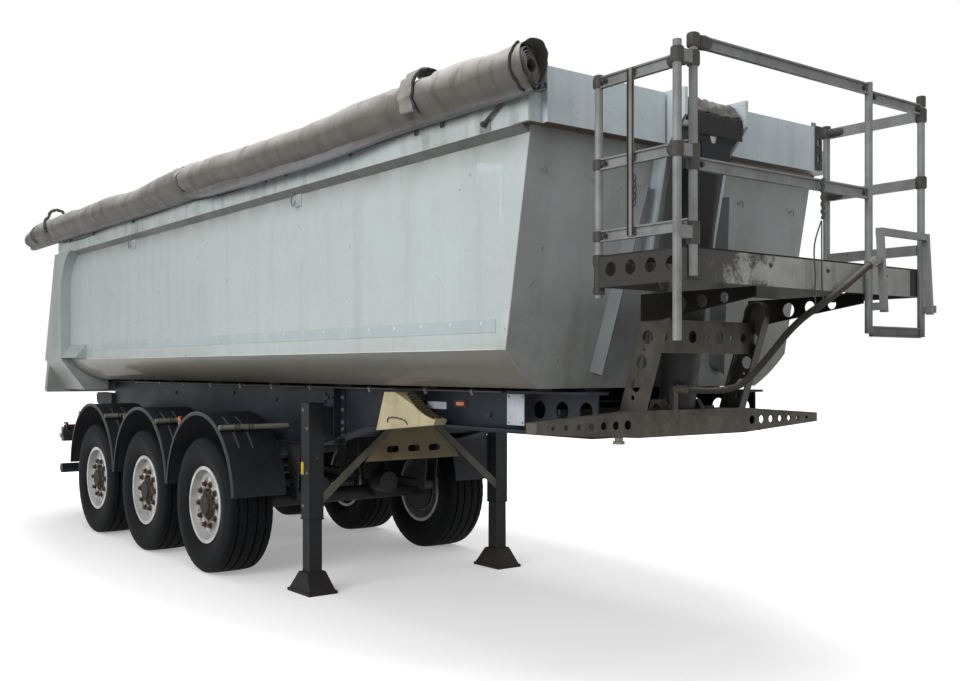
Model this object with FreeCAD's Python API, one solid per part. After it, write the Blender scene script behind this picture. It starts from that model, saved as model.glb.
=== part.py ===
import FreeCAD, Part
import math
import os

from FreeCAD import Vector

# Dump trailer with three axles: a half-round steel bed that tips to the rear on a ladder chassis.
# All sizes are in millimetres. X points forward, Y to the left and Z up.
# The sizes below count X from the first axle and Z from the ground; save() moves the origin to the
# kingpin's axis at the underside of the coupling plate.

# Running gear
AXLE_PITCH = 1310
AXLE_COUNT = 3
TYRE_RADIUS = 536
TYRE_WIDTH = 385
WHEEL_CENTRE_Y = 1020
TYRE_WALL_HEIGHT = 250
RIM_RADIUS = TYRE_RADIUS - TYRE_WALL_HEIGHT
RIM_FLANGE_RADIUS = RIM_RADIUS + 17
RIM_WIDTH = 320
DRUM_RADIUS = RIM_RADIUS - 81
NUT_CIRCLE = RIM_RADIUS * 0.586
HAND_HOLE_RADIUS = 20
AXLE_RADIUS = 63
SPINDLE_RADIUS = 45
ARM_CENTRE_Y = 600
ARM_WIDTH = 90
ARM_DEPTH = 60
PIVOT_AHEAD = 500
PIVOT_RADIUS = 15
SPRING_BEHIND = 350
SPRING_RADIUS = 150

# Chassis
RIDE_HEIGHT = 504
BEAM_DEPTH = 440
NECK_DEPTH = 233
COUPLING_PLATE = 12
BEAM_CENTRE_Y = 650
BEAM_BOTTOM = TYRE_RADIUS + RIDE_HEIGHT
BEAM_TOP = BEAM_BOTTOM + BEAM_DEPTH
NECK_BOTTOM = BEAM_TOP - NECK_DEPTH
COUPLING_HEIGHT = NECK_BOTTOM - COUPLING_PLATE
BEAM_WEB = 10
FLANGE_WIDTH = 150
FLANGE_THICKNESS = 14
CHASSIS_REAR_X = -AXLE_PITCH * (AXLE_COUNT - 1) - 1020
CHASSIS_FRONT_X = 3900
KINGPIN_X = 3400
KINGPIN_RADIUS = 36.5
KINGPIN_COLLAR = 40
TAIL_BOTTOM = BEAM_TOP - 300
REST_PAD = 20
TANKS_X = (-AXLE_PITCH / 2, -AXLE_PITCH * 1.5)
TANK_RADIUS = 120

# Landing legs
LEG_X = 1150
LEG_CENTRE_Y = 850
LEG_TUBE = 118
LEG_WALL = 8
LEG_TOP = BEAM_TOP - 130
LEG_BOTTOM = 530
FOOT_HEIGHT = 150

# Bed
BED_HALF_WIDTH = 1150
BED_WALL = 6
BED_BOTTOM = BEAM_TOP + REST_PAD
BED_CREASE = BED_BOTTOM + 203
RAIL_BOTTOM = BED_BOTTOM + 1320
RAIL_HEIGHT = 150
RAIL_TOP = RAIL_BOTTOM + RAIL_HEIGHT
RAIL_OVERHANG = 55
RAIL_HALF_WIDTH = BED_HALF_WIDTH + RAIL_OVERHANG
RAIL_WIDTH = 100
RAIL_REAR_X = CHASSIS_REAR_X - 160
RAIL_FRONT_X = 3925
FRONT_WALL_X = 3705
FRONT_SLOPE = 0.179
REAR_SLOPE = 0.328
FRAME_REAR_X = CHASSIS_REAR_X - 110
FRAME_FRONT_X = CHASSIS_REAR_X + 75
FRAME_CLEARANCE = 25
FRAME_FLARE = 330
FRAME_FLARE_HEIGHT = 440
FRAME_FLANGE = 100
FRAME_HALF_WIDTH = BED_HALF_WIDTH + FRAME_FLANGE
FRAME_FOOT = BED_CREASE + 7
FRAME_BOTTOM = BED_BOTTOM - 115
FRAME_BOTTOM_HALF_WIDTH = FRAME_HALF_WIDTH - 250
HEADBOARD_HALF_WIDTH = BED_HALF_WIDTH - 30
HEADBOARD_BOTTOM = RAIL_BOTTOM - 15
HEADBOARD_HEIGHT = 290
HEADBOARD_TOP = HEADBOARD_BOTTOM + HEADBOARD_HEIGHT
HEADBOARD_DEPTH = 92
HEADBOARD_GAP_HALF_WIDTH = 280

# Tipping hinge, cylinder and tailgate
HINGE_X = CHASSIS_REAR_X - 440
HINGE_Z = BEAM_TOP - 195
HINGE_PIN_RADIUS = 40
CROSSBEAM_TOP = COUPLING_HEIGHT + 145
CYLINDER_FOOT = (CHASSIS_FRONT_X - 45, CROSSBEAM_TOP)
CYLINDER_HEAD = (CHASSIS_FRONT_X + 180, RAIL_BOTTOM + 110)
CYLINDER_RADIUS = 105
CYLINDER_STAGES = 5
CYLINDER_PIN_RADIUS = 25
TRUNNION_RADIUS = 30
CRADLE_INNER_Y = 125
CRADLE_OUTER_Y = 160
BRACKET_PLATE = 22
STAGE_WALL = 8.5
GATE_HINGE_X = RAIL_REAR_X - 60
GATE_HINGE_Z = RAIL_TOP - 75
GATE_HALF_WIDTH = FRAME_HALF_WIDTH - 50
GATE_HEIGHT = 1483
GATE_DROP = 105
GATE_THICKNESS = 80
GATE_PIN_RADIUS = 20

# Platform over the coupling, its stand and handrail
DECK_REAR_X = 4220
DECK_FRONT_X = 4780
DECK_HALF_WIDTH = 955
DECK_TOP = 2155
DECK_EDGE = 155
DECK_PLATE = 8
STAND_CENTRE_Y = 440
CROSSBEAM_DEPTH = 84
STAND_REAR_X = CHASSIS_FRONT_X - 55
STAND_LEAN = 0.34
TIE_X = CHASSIS_FRONT_X + 160
STAND_TOP = 1990
STAND_WIDTH = 150
TIE_HOLES = ((-330, 26), (-215, 14), (-100, 34), (20, 12), (120, 34), (225, 14), (330, 26))
POST_RADIUS = 20
HOSE_RADIUS = 18
HOSE_SOCKET_RADIUS = 24
RAIL_BAR_HEIGHT = 56
RAIL_BAR_THICKNESS = 24

# Rolled tarpaulin
ROLL_RADIUS = 121
ROLL_Y = -RAIL_HALF_WIDTH - 45
ROLL_REAR_X = CHASSIS_REAR_X - 960
ROLL_FRONT_X = 3985

# Bends of the hose from the ladder down to the cylinder's foot
HOSE_ROUTE = [
    (4850, 360, 2140), (4812, 100, 1965), (4620, 60, 1850), (4360, 100, 1610), (4200, 70, 1470), (4020, -80, 1490),
]

# Clearances
SEAT_GAP = 0.3
MOVING_GAP = 6

AXLES_X = [-AXLE_PITCH * number for number in range(AXLE_COUNT)]
SIDES = {"right": -1, "left": 1}
ROLL_Z = RAIL_TOP + math.sqrt((ROLL_RADIUS + SEAT_GAP) ** 2 - (abs(ROLL_Y) - RAIL_HALF_WIDTH) ** 2)
ORIGIN_SHIFT = Vector(-KINGPIN_X, 0, -COUPLING_HEIGHT)
ALONG_Y = Vector(0, 1, 0)
ALONG_Z = Vector(0, 0, 1)


def save(name, *shapes):
    """Write the solids of one node, seen from the part's own origin."""
    solids = [solid for shape in shapes for solid in shape.Solids]
    node = solids[0] if len(solids) == 1 else Part.makeCompound(solids)
    node = node.copy()
    node.translate(ORIGIN_SHIFT)
    node.exportStep(f"parts/{name}.step")


def block(x, y, z):
    """A box between the low and high value on each axis."""
    return Part.makeBox(x[1] - x[0], y[1] - y[0], z[1] - z[0], Vector(x[0], y[0], z[0]))


def rod(start, end, radius):
    """A round bar from one point to another."""
    start = Vector(*start)
    run = Vector(*end) - start
    return Part.makeCylinder(radius, run.Length, start, run)


def pipe(start, end, radius, wall):
    """A round tube that is open at both ends."""
    return rod(start, end, radius).cut(rod(start, end, radius - wall))


def extruded(corners, run):
    return Part.Face(Part.makePolygon(corners + corners[:1])).extrude(run)


def plate_xz(outline, y):
    """A flat outline of (x, z) points, from one y to another."""
    return extruded([Vector(px, y[0], pz) for px, pz in outline], Vector(0, y[1] - y[0], 0))


def plate_yz(outline, x):
    """A flat outline of (y, z) points, from one x to another."""
    return extruded([Vector(x[0], py, pz) for py, pz in outline], Vector(x[1] - x[0], 0, 0))


def turned_about_y(profile, x, y, z, out=1):
    """A ring turned about a line along Y; the profile's points are (outward, radius)."""
    corners = [Vector(x, y + out * outward, z + radius) for outward, radius in profile]
    face = Part.Face(Part.makePolygon(corners + corners[:1]))
    return face.revolve(Vector(x, 0, z), ALONG_Y, 360)


def turned_about_z(profile, x, y):
    """A solid turned about an upright line; the profile's points are (radius, height)."""
    corners = [Vector(x + radius, y, height) for radius, height in profile]
    face = Part.Face(Part.makePolygon(corners + corners[:1]))
    return face.revolve(Vector(x, y, 0), ALONG_Z, 360)


def mirrored(shape):
    """The same piece on the other side of the trailer."""
    return shape.mirror(Vector(0, 0, 0), ALONG_Y)


def both_sides(shape):
    return [shape, mirrored(shape)]


def fused(shapes):
    """One solid from pieces that are welded together."""
    first, *others = shapes
    return first.fuse(others).removeSplitter() if others else first


def hose_socket(end, neighbour, length):
    """The socket that one end of the hose comes out of."""
    end = Vector(*end)
    outward = (end - Vector(*neighbour)).normalize()
    return rod(end, end + outward * length, HOSE_SOCKET_RADIUS)


def front_wall_x(z):
    return FRONT_WALL_X + FRONT_SLOPE * (z - BED_BOTTOM)


def frame_rear_x(z):
    return FRAME_REAR_X - REAR_SLOPE * (RAIL_BOTTOM + 80 - z)


# Wheels and axles
def make_tyre(x, side):
    half = TYRE_WIDTH / 2
    bead = RIM_RADIUS + SEAT_GAP
    profile = [
        (-147, bead), (-149, RIM_FLANGE_RADIUS + 1), (-157, RIM_FLANGE_RADIUS + 15), (-half, TYRE_RADIUS - 126),
        (-half + 4, TYRE_RADIUS - 81), (-half + 20, TYRE_RADIUS - 24), (-half + 36, TYRE_RADIUS),
    ]
    profile += [(-outward, radius) for outward, radius in reversed(profile)]
    return turned_about_y(profile, x, side * WHEEL_CENTRE_Y, TYRE_RADIUS, side)


def make_rim(x, side):
    """Rim, disc, hub and brake drum, which turn as one; outward is measured from the rim's middle."""
    half = RIM_WIDTH / 2
    barrel_inside = RIM_RADIUS - 10
    barrel = [
        (-half, barrel_inside), (-half, RIM_FLANGE_RADIUS), (-half + 8, RIM_FLANGE_RADIUS),
        (-half + 8, RIM_RADIUS), (half - 8, RIM_RADIUS), (half - 8, RIM_FLANGE_RADIUS),
        (half, RIM_FLANGE_RADIUS), (half, barrel_inside),
    ]
    disc = [
        (20, barrel_inside + 2), (35, barrel_inside + 2), (95, DRUM_RADIUS + 10), (95, 120), (83, 120),
        (83, DRUM_RADIUS + 7),
    ]
    hand_hole_circle = (barrel_inside + DRUM_RADIUS + 10) / 2
    hub = [
        (-140, SPINDLE_RADIUS + SEAT_GAP), (-140, DRUM_RADIUS), (-20, DRUM_RADIUS), (-20, 150), (60, 140),
        (60, 175), (82, 175), (82, 118), (105, 118), (150, 80), (165, 76), (165, 0), (70, 0),
        (70, SPINDLE_RADIUS + SEAT_GAP),
    ]
    ring, dish, middle = [
        turned_about_y(profile, x, side * WHEEL_CENTRE_Y, TYRE_RADIUS, side) for profile in (barrel, disc, hub)
    ]
    nuts = []
    for number in range(10):
        angle = math.radians(36 * number)
        hole_x = x + hand_hole_circle * math.cos(angle + math.radians(18))
        hole_z = TYRE_RADIUS + hand_hole_circle * math.sin(angle + math.radians(18))
        hole_y = side * WHEEL_CENTRE_Y
        dish = dish.cut(rod((hole_x, hole_y, hole_z), (hole_x, hole_y + side * 110, hole_z), HAND_HOLE_RADIUS))
        nut_x = x + NUT_CIRCLE * math.cos(angle)
        nut_z = TYRE_RADIUS + NUT_CIRCLE * math.sin(angle)
        foot_y = side * (WHEEL_CENTRE_Y + 78)
        nuts.append(rod((nut_x, foot_y, nut_z), (nut_x, foot_y + side * 40, nut_z), 15))
    return fused([ring, dish, middle] + nuts)


def make_axles():
    """Axle tubes with their spindles, brake plates and brake chambers."""
    axles = []
    tube_end = WHEEL_CENTRE_Y - 158
    for x in AXLES_X:
        pieces = [rod((x, -tube_end, TYRE_RADIUS), (x, tube_end, TYRE_RADIUS), AXLE_RADIUS)]
        for side in SIDES.values():
            outer = side * (WHEEL_CENTRE_Y + 60)
            pieces.append(rod((x, side * 700, TYRE_RADIUS), (x, outer, TYRE_RADIUS), SPINDLE_RADIUS))
            pieces.append(rod((x, side * (tube_end - 12), TYRE_RADIUS), (x, side * tube_end, TYRE_RADIUS),
                              DRUM_RADIUS - 5))
            y = side * 330
            pieces.append(block((x + 40, x + 150), (y - 20, y + 20), (TYRE_RADIUS - 30, TYRE_RADIUS + 120)))
            pieces.append(rod((x + 140, y, TYRE_RADIUS + 110), (x + 330, y, TYRE_RADIUS + 110), 88))
        axles.append(fused(pieces))
    return axles


def make_suspension():
    """Hanger brackets, trailing arms and air springs of every axle, as three lists."""
    hangers = []
    arms = []
    springs = []
    arm_bottom = TYRE_RADIUS + AXLE_RADIUS + SEAT_GAP
    pivot_z = arm_bottom + ARM_DEPTH / 2
    inner = ARM_CENTRE_Y - ARM_WIDTH / 2
    outer = ARM_CENTRE_Y + ARM_WIDTH / 2
    for x in AXLES_X:
        pivot_x = x + PIVOT_AHEAD
        cheek = [
            (pivot_x - 110, BEAM_BOTTOM), (pivot_x + 100, BEAM_BOTTOM), (pivot_x + 50, pivot_z - 45),
            (pivot_x - 50, pivot_z - 45),
        ]
        cheeks = [plate_xz(cheek, (inner - 14, inner - 4)), plate_xz(cheek, (outer + 4, outer + 14))]
        pin = rod((pivot_x, inner - 20, pivot_z), (pivot_x, outer + 20, pivot_z), PIVOT_RADIUS)
        top = block((pivot_x - 110, pivot_x + 100), (inner - 14, outer + 14), (BEAM_BOTTOM - 10, BEAM_BOTTOM))
        hangers += both_sides(fused(cheeks + [pin, top]))
        bar = block((x - 440, pivot_x), (inner, outer), (arm_bottom, arm_bottom + ARM_DEPTH))
        eye = rod((pivot_x, inner, pivot_z), (pivot_x, outer, pivot_z), 45)
        bore = rod((pivot_x, inner - 1, pivot_z), (pivot_x, outer + 1, pivot_z), PIVOT_RADIUS + SEAT_GAP)
        arms += both_sides(fused([bar, eye]).cut(bore))
        foot = arm_bottom + ARM_DEPTH
        spring = [
            (0, foot), (95, foot), (85, foot + 120), (SPRING_RADIUS - 25, foot + 130), (SPRING_RADIUS, foot + 165),
            (SPRING_RADIUS, BEAM_BOTTOM - 60), (SPRING_RADIUS - 35, BEAM_BOTTOM - 15), (110, BEAM_BOTTOM),
            (0, BEAM_BOTTOM),
        ]
        springs += both_sides(turned_about_z(spring, x - SPRING_BEHIND, ARM_CENTRE_Y))
    return hangers, arms, springs


# Mudguards
GUARD_RADIUS = TYRE_RADIUS + 114
GUARD_CENTRE_Z = TYRE_RADIUS + 79
GUARD_SHEET = 5
GUARD_INNER_Y = 800
GUARD_OUTER_Y = 1240
GUARD_LIP = 22
STAY_RADIUS = 21
STAY_AHEAD = 380


def make_mudguards():
    """Half-round guards, each a thin arch with a deeper lip at its outer edge."""
    guards = []
    for x in AXLES_X:
        def drum(radius, y):
            return rod((x, y[0], GUARD_CENTRE_Z), (x, y[1], GUARD_CENTRE_Z), radius)
        width = (GUARD_INNER_Y, GUARD_OUTER_Y)
        arch = drum(GUARD_RADIUS, width).cut(drum(GUARD_RADIUS - GUARD_SHEET, width))
        rim = (GUARD_OUTER_Y - GUARD_SHEET, GUARD_OUTER_Y)
        lip = drum(GUARD_RADIUS, rim).cut(drum(GUARD_RADIUS - GUARD_LIP, rim))
        below = block((x - 700, x + 700), (GUARD_INNER_Y - 1, GUARD_OUTER_Y + 1), (-100, GUARD_CENTRE_Z + 35))
        guards += both_sides(fused([arch, lip]).cut(below))
    return guards


def make_mudguard_stays():
    """Tubes from the chassis beams that carry the guards, two over each."""
    stays = []
    reach = GUARD_RADIUS + STAY_RADIUS + SEAT_GAP
    rise = math.sqrt(GUARD_RADIUS ** 2 - STAY_AHEAD ** 2)
    for x in AXLES_X:
        for way in (-1, 1):
            stay_x = x + way * STAY_AHEAD * reach / GUARD_RADIUS
            stay_z = GUARD_CENTRE_Z + rise * reach / GUARD_RADIUS
            inner = (stay_x, BEAM_CENTRE_Y + BEAM_WEB / 2, stay_z)
            outer = (stay_x, GUARD_OUTER_Y - 10, stay_z)
            stays += both_sides(rod(inner, outer, STAY_RADIUS))
    return stays


# Chassis
def make_beam():
    """One long beam of I section, deep over the axles and shallow in the neck over the coupling."""
    tail = CHASSIS_REAR_X + 140
    lower = [
        (CHASSIS_REAR_X, TAIL_BOTTOM), (tail, TAIL_BOTTOM), (tail + 300, BEAM_BOTTOM), (LEG_X - 150, BEAM_BOTTOM),
        (LEG_X + 500, NECK_BOTTOM - 61), (LEG_X + 1200, NECK_BOTTOM), (CHASSIS_FRONT_X, NECK_BOTTOM),
    ]
    upper = [(CHASSIS_FRONT_X, BEAM_TOP), (CHASSIS_REAR_X, BEAM_TOP)]
    web = plate_xz(lower + upper, (BEAM_CENTRE_Y - BEAM_WEB / 2, BEAM_CENTRE_Y + BEAM_WEB / 2))
    flange_y = (BEAM_CENTRE_Y - FLANGE_WIDTH / 2, BEAM_CENTRE_Y + FLANGE_WIDTH / 2)
    raised = [(x, z + FLANGE_THICKNESS) for x, z in reversed(lower)]
    bottom_flange = plate_xz(lower + raised, flange_y)
    top_flange = block((CHASSIS_REAR_X, CHASSIS_FRONT_X), flange_y, (BEAM_TOP - FLANGE_THICKNESS, BEAM_TOP))
    beam = fused([web, bottom_flange, top_flange])
    hole_z = BEAM_TOP - 105
    for ahead in (30, 220, 410):
        hole_x = KINGPIN_X + ahead
        beam = beam.cut(rod((hole_x, BEAM_CENTRE_Y - 20, hole_z), (hole_x, BEAM_CENTRE_Y + 20, hole_z), 50))
    return beam


def make_crossmembers():
    """Cross tubes between the beams; the columns are x, and the depths of its top and bottom below the beams'."""
    rows = [
        (CHASSIS_REAR_X + 240, 120, 270), (AXLES_X[2] + 320, 230, 380), (TANKS_X[1], 280, 380),
        (AXLES_X[1] + 410, 230, 380), (TANKS_X[0], 280, 380), (AXLES_X[0] + 250, 230, 380), (LEG_X, 230, 380),
        (LEG_X + 900, 120, 240), (2800, 100, 218), (KINGPIN_X + 150, 100, 218),
    ]
    table = [(x, BEAM_TOP - low, BEAM_TOP - high) for x, high, low in rows]
    reach = BEAM_CENTRE_Y - BEAM_WEB / 2
    return [block((x - 40, x + 40), (-reach, reach), (bottom, top)) for x, bottom, top in table]


def make_rest_pads():
    """Rubber blocks on the beams that the lowered bed lies on."""
    pads = []
    first = CHASSIS_REAR_X + 640
    for x in [first + 1083 * number for number in range(7)]:
        pad = block((x - 90, x + 90), (BEAM_CENTRE_Y - 50, BEAM_CENTRE_Y + 50), (BEAM_TOP, BED_BOTTOM - SEAT_GAP))
        pads += both_sides(pad)
    return pads


def make_coupling_plate():
    plate = block((KINGPIN_X - 750, CHASSIS_FRONT_X), (-700, 700), (COUPLING_HEIGHT, NECK_BOTTOM))
    bore = rod((KINGPIN_X, 0, COUPLING_HEIGHT - 1), (KINGPIN_X, 0, NECK_BOTTOM + 1), KINGPIN_COLLAR + SEAT_GAP)
    return plate.cut(bore)


def make_kingpin():
    """Pin of the 50 mm size, whose flange lies on the coupling plate: shoulder, neck and end flange."""
    top = NECK_BOTTOM - COUPLING_HEIGHT + SEAT_GAP
    profile = [
        (0, top + 16), (80, top + 16), (80, top), (KINGPIN_COLLAR, top), (KINGPIN_COLLAR, 0), (KINGPIN_RADIUS, 0),
        (KINGPIN_RADIUS, -35), (25.4, -35), (25.4, -65), (35.7, -65), (35.7, -84), (0, -84),
    ]
    return turned_about_z([(radius, COUPLING_HEIGHT + z) for radius, z in profile], KINGPIN_X, 0)


def make_hinge_brackets():
    """Brackets behind the beams with the shaft that the bed tips on."""
    cheek = [
        (CHASSIS_REAR_X, TAIL_BOTTOM), (CHASSIS_REAR_X, TAIL_BOTTOM + 160), (HINGE_X, HINGE_Z + 62),
        (HINGE_X, HINGE_Z - 62),
    ]
    pieces = [rod((HINGE_X, -BEAM_CENTRE_Y, HINGE_Z), (HINGE_X, BEAM_CENTRE_Y, HINGE_Z), HINGE_PIN_RADIUS)]
    for side in SIDES.values():
        y = sorted((side * (BEAM_CENTRE_Y - 45), side * (BEAM_CENTRE_Y + 45)))
        pieces.append(plate_xz(cheek, y))
        pieces.append(rod((HINGE_X, y[0], HINGE_Z), (HINGE_X, y[1], HINGE_Z), 62))
    return fused(pieces)


def make_landing_legs():
    """Square outer tubes with the brackets that bolt them to the beams."""
    half = LEG_TUBE / 2
    inner = half - LEG_WALL
    x = (LEG_X - half, LEG_X + half)
    tube = block(x, (LEG_CENTRE_Y - half, LEG_CENTRE_Y + half), (LEG_BOTTOM, LEG_TOP))
    hollow = block((LEG_X - inner, LEG_X + inner), (LEG_CENTRE_Y - inner, LEG_CENTRE_Y + inner),
                   (LEG_BOTTOM - 1, LEG_TOP - LEG_WALL))
    web_face = BEAM_CENTRE_Y + BEAM_WEB / 2
    bracket = block((LEG_X - 50, LEG_X + 50), (web_face, LEG_CENTRE_Y - half), (BEAM_BOTTOM + 80, LEG_TOP - 20))
    return both_sides(fused([tube.cut(hollow), bracket]))


def make_landing_rams():
    """Inner tubes with the feet that the uncoupled trailer stands on."""
    half = LEG_TUBE / 2 - LEG_WALL - SEAT_GAP
    ram = block((LEG_X - half, LEG_X + half), (LEG_CENTRE_Y - half, LEG_CENTRE_Y + half),
                (FOOT_HEIGHT - 20, LEG_BOTTOM + 200))

    def ring(half_x, half_y, z):
        corners = [(-half_x, -half_y), (half_x, -half_y), (half_x, half_y), (-half_x, half_y), (-half_x, -half_y)]
        return Part.makePolygon([Vector(LEG_X + px, LEG_CENTRE_Y + py, z) for px, py in corners])
    base = block((LEG_X - 165, LEG_X + 165), (LEG_CENTRE_Y - 115, LEG_CENTRE_Y + 115), (0, 22))
    slope = Part.makeLoft([ring(155, 105, 20), ring(62, 75, FOOT_HEIGHT)], True, True)
    return both_sides(fused([base, slope, ram]))


def make_landing_cross_plate():
    """Plate between the legs with three long slots, on the front of its cross tube."""
    front = LEG_X + 40
    low = BEAM_BOTTOM - 124
    high = BEAM_BOTTOM + 140
    outline = [(-430, low), (430, low), (240, high), (-240, high)]
    plate = plate_yz(outline, (front, front + 8))
    slot_z = low + 84
    for y in (-190, 0, 190):
        slot = block((front - 1, front + 9), (y - 30, y + 30), (slot_z - 25, slot_z + 25))
        ends = [rod((front - 1, y + end, slot_z), (front + 9, y + end, slot_z), 25) for end in (-30, 30)]
        plate = plate.cut(fused([slot] + ends))
    return plate


def make_landing_braces():
    """Diagonal bars from the cross tube down to the inner faces of the legs."""
    reach = LEG_CENTRE_Y - LEG_TUBE / 2
    root = BEAM_BOTTOM + 110
    outline = [(190, root), (240, root + 20), (reach, 715), (reach, 640)]
    x = (LEG_X + 48, LEG_X + 58)
    return both_sides(plate_yz(outline, x))


def make_air_tanks():
    """Air tanks that lie across the chassis between the axles, hung on their cross tubes."""
    tanks = []
    hang = BEAM_BOTTOM + 60
    centre_z = hang - 20 - TANK_RADIUS
    for x in TANKS_X:
        tank = rod((x, -350, centre_z), (x, 350, centre_z), TANK_RADIUS)
        straps = [block((x - 30, x + 30), (y - 20, y + 20), (centre_z + 80, hang)) for y in (-200, 200)]
        tanks.append(fused([tank] + straps))
    return tanks


UNDERRUN_X = CHASSIS_REAR_X - 80
UNDERRUN_Z = 555
UNDERRUN_RADIUS = 50


def make_underrun_arms():
    foot = UNDERRUN_Z + UNDERRUN_RADIUS + SEAT_GAP
    outline = [
        (CHASSIS_REAR_X + 140, TAIL_BOTTOM), (CHASSIS_REAR_X + 20, TAIL_BOTTOM), (UNDERRUN_X - 20, foot + 14),
        (UNDERRUN_X - 20, foot), (CHASSIS_REAR_X, foot),
    ]
    return both_sides(plate_xz(outline, (ARM_CENTRE_Y - 35, ARM_CENTRE_Y + 35)))


def make_underrun_bar():
    """Round bar across the rear, closed at its ends."""
    half = BED_HALF_WIDTH + 50
    tube = pipe((UNDERRUN_X, -half, UNDERRUN_Z), (UNDERRUN_X, half, UNDERRUN_Z), UNDERRUN_RADIUS, 6)
    caps = [
        rod((UNDERRUN_X, side * (half - 6), UNDERRUN_Z), (UNDERRUN_X, side * half, UNDERRUN_Z), UNDERRUN_RADIUS)
        for side in SIDES.values()
    ]
    return fused([tube] + caps)


def make_rear_lamps():
    """Lamp carriers that reach out from the underrun arms, with a lamp and a rope hook each."""
    inner = ARM_CENTRE_Y + 35
    rear = CHASSIS_REAR_X - 60
    carrier = block((rear, rear + 40), (inner, BED_HALF_WIDTH + 50), (900, 960))
    lamp = block((rear - 90, rear), (BED_HALF_WIDTH - 190, BED_HALF_WIDTH + 30), (840, 990))
    hook = rod((rear + 20, BED_HALF_WIDTH, 960), (rear + 20, BED_HALF_WIDTH, 1030), 12)
    tip = rod((rear - 60, BED_HALF_WIDTH, 1030), (rear + 32, BED_HALF_WIDTH, 1030), 12)
    return both_sides(fused([carrier, lamp, hook, tip]))


def make_wheel_chock():
    """Wedge with a hollow front face, stowed on the right beam."""
    y = (-BEAM_CENTRE_Y - BEAM_WEB / 2 - 160, -BEAM_CENTRE_Y - FLANGE_WIDTH / 2 - SEAT_GAP)
    outline = [(1960, 1200), (2060, 1455), (2190, 1455), (2640, 1290), (2620, 1262)]
    wedge = plate_xz(outline, y)
    return wedge.cut(rod((2700, y[0] - 1, 1850), (2700, y[1] + 1, 1850), 560))


# Bed
FRONT_SECTION_X = FRONT_WALL_X + 495
REAR_SECTION_X = FRAME_REAR_X - 550
FRONT_CORNER_Y = BED_HALF_WIDTH - 245
REAR_CORNER_Y = BED_HALF_WIDTH - 450
RIB_HEIGHT = 62
BRACKET_HALF_WIDTH = HEADBOARD_GAP_HALF_WIDTH - 18
BRACKET_PROUD = 78


def tub_section(x, wall, corner_y, bulge):
    """Closed outline of the tub at one x: straight sides, a curved corner each side and a flat floor."""
    side = BED_HALF_WIDTH - wall
    floor = BED_BOTTOM + wall
    crease = BED_CREASE + wall * 0.4
    corner = corner_y - wall * 0.4
    top = RAIL_BOTTOM + (1 if wall > 0 else 0)
    middle_y = (side + corner) / 2
    middle_z = (crease + floor) / 2
    chord = math.hypot(side - corner, crease - floor)
    bulge_y = middle_y + bulge * (crease - floor) / chord
    bulge_z = middle_z - bulge * (side - corner) / chord

    def at(y, z):
        return Vector(x, y, z)
    edges = [
        Part.LineSegment(at(-side, top), at(side, top)),
        Part.LineSegment(at(side, top), at(side, crease)),
        Part.Arc(at(side, crease), at(bulge_y, bulge_z), at(corner, floor)),
        Part.LineSegment(at(corner, floor), at(-corner, floor)),
        Part.Arc(at(-corner, floor), at(-bulge_y, bulge_z), at(-side, crease)),
        Part.LineSegment(at(-side, crease), at(-side, top)),
    ]
    return Part.Wire([edge.toShape() for edge in edges])


def tub_solid(wall):
    """The tub's outer or inner form, from a bevelled front to a rounder rear."""
    front = tub_section(FRONT_SECTION_X, wall, FRONT_CORNER_Y, 12)
    rear = tub_section(REAR_SECTION_X, wall, REAR_CORNER_Y, 75)
    return Part.makeLoft([front, rear], True, True)


def slab_xz(rear_x, front_x, bottom, top):
    """Everything between two sloping planes; rear_x and front_x give x at a height."""
    outline = [(rear_x(bottom), bottom), (front_x(bottom), bottom), (front_x(top), top), (rear_x(top), top)]
    return plate_xz(outline, (-2000, 2000))


WEDGE_LENGTH = 530
NICHE_HALF_WIDTH = 130
NICHE_TOP = RAIL_BOTTOM - 70
NICHE_DEPTH = 200


def niche_back_x(z):
    """Back of the niche that clears the cylinder when the bed is up."""
    return front_wall_x(z) - NICHE_DEPTH * (NICHE_TOP - z) / (NICHE_TOP - BED_BOTTOM)


def niche_form(widen):
    """The niche's space, made wider and deeper by a plate's thickness."""
    outline = [
        (niche_back_x(BED_BOTTOM - 20) - widen, BED_BOTTOM - 20), (FRONT_SECTION_X, BED_BOTTOM - 20),
        (FRONT_SECTION_X, NICHE_TOP + widen), (niche_back_x(NICHE_TOP) - widen, NICHE_TOP + widen),
    ]
    return plate_xz(outline, (-NICHE_HALF_WIDTH - widen, NICHE_HALF_WIDTH + widen))


def make_tub():
    shell = tub_solid(0).cut(tub_solid(BED_WALL))
    keep = slab_xz(frame_rear_x, lambda z: front_wall_x(z) - BED_WALL, BED_BOTTOM - 500, RAIL_TOP)
    return shell.common(keep).cut(niche_form(BED_WALL))


def make_front_wall():
    """Sloping front wall with the cylinder's niche folded into it."""
    low = BED_BOTTOM - 500
    sheet = slab_xz(lambda z: front_wall_x(z) - BED_WALL, front_wall_x, low, RAIL_TOP).common(tub_solid(0))
    box = niche_form(BED_WALL).cut(niche_form(0))
    behind = slab_xz(lambda z: FRONT_WALL_X - 700, front_wall_x, BED_BOTTOM, RAIL_TOP)
    return fused([sheet.cut(niche_form(BED_WALL)), box.common(behind)])


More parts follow.
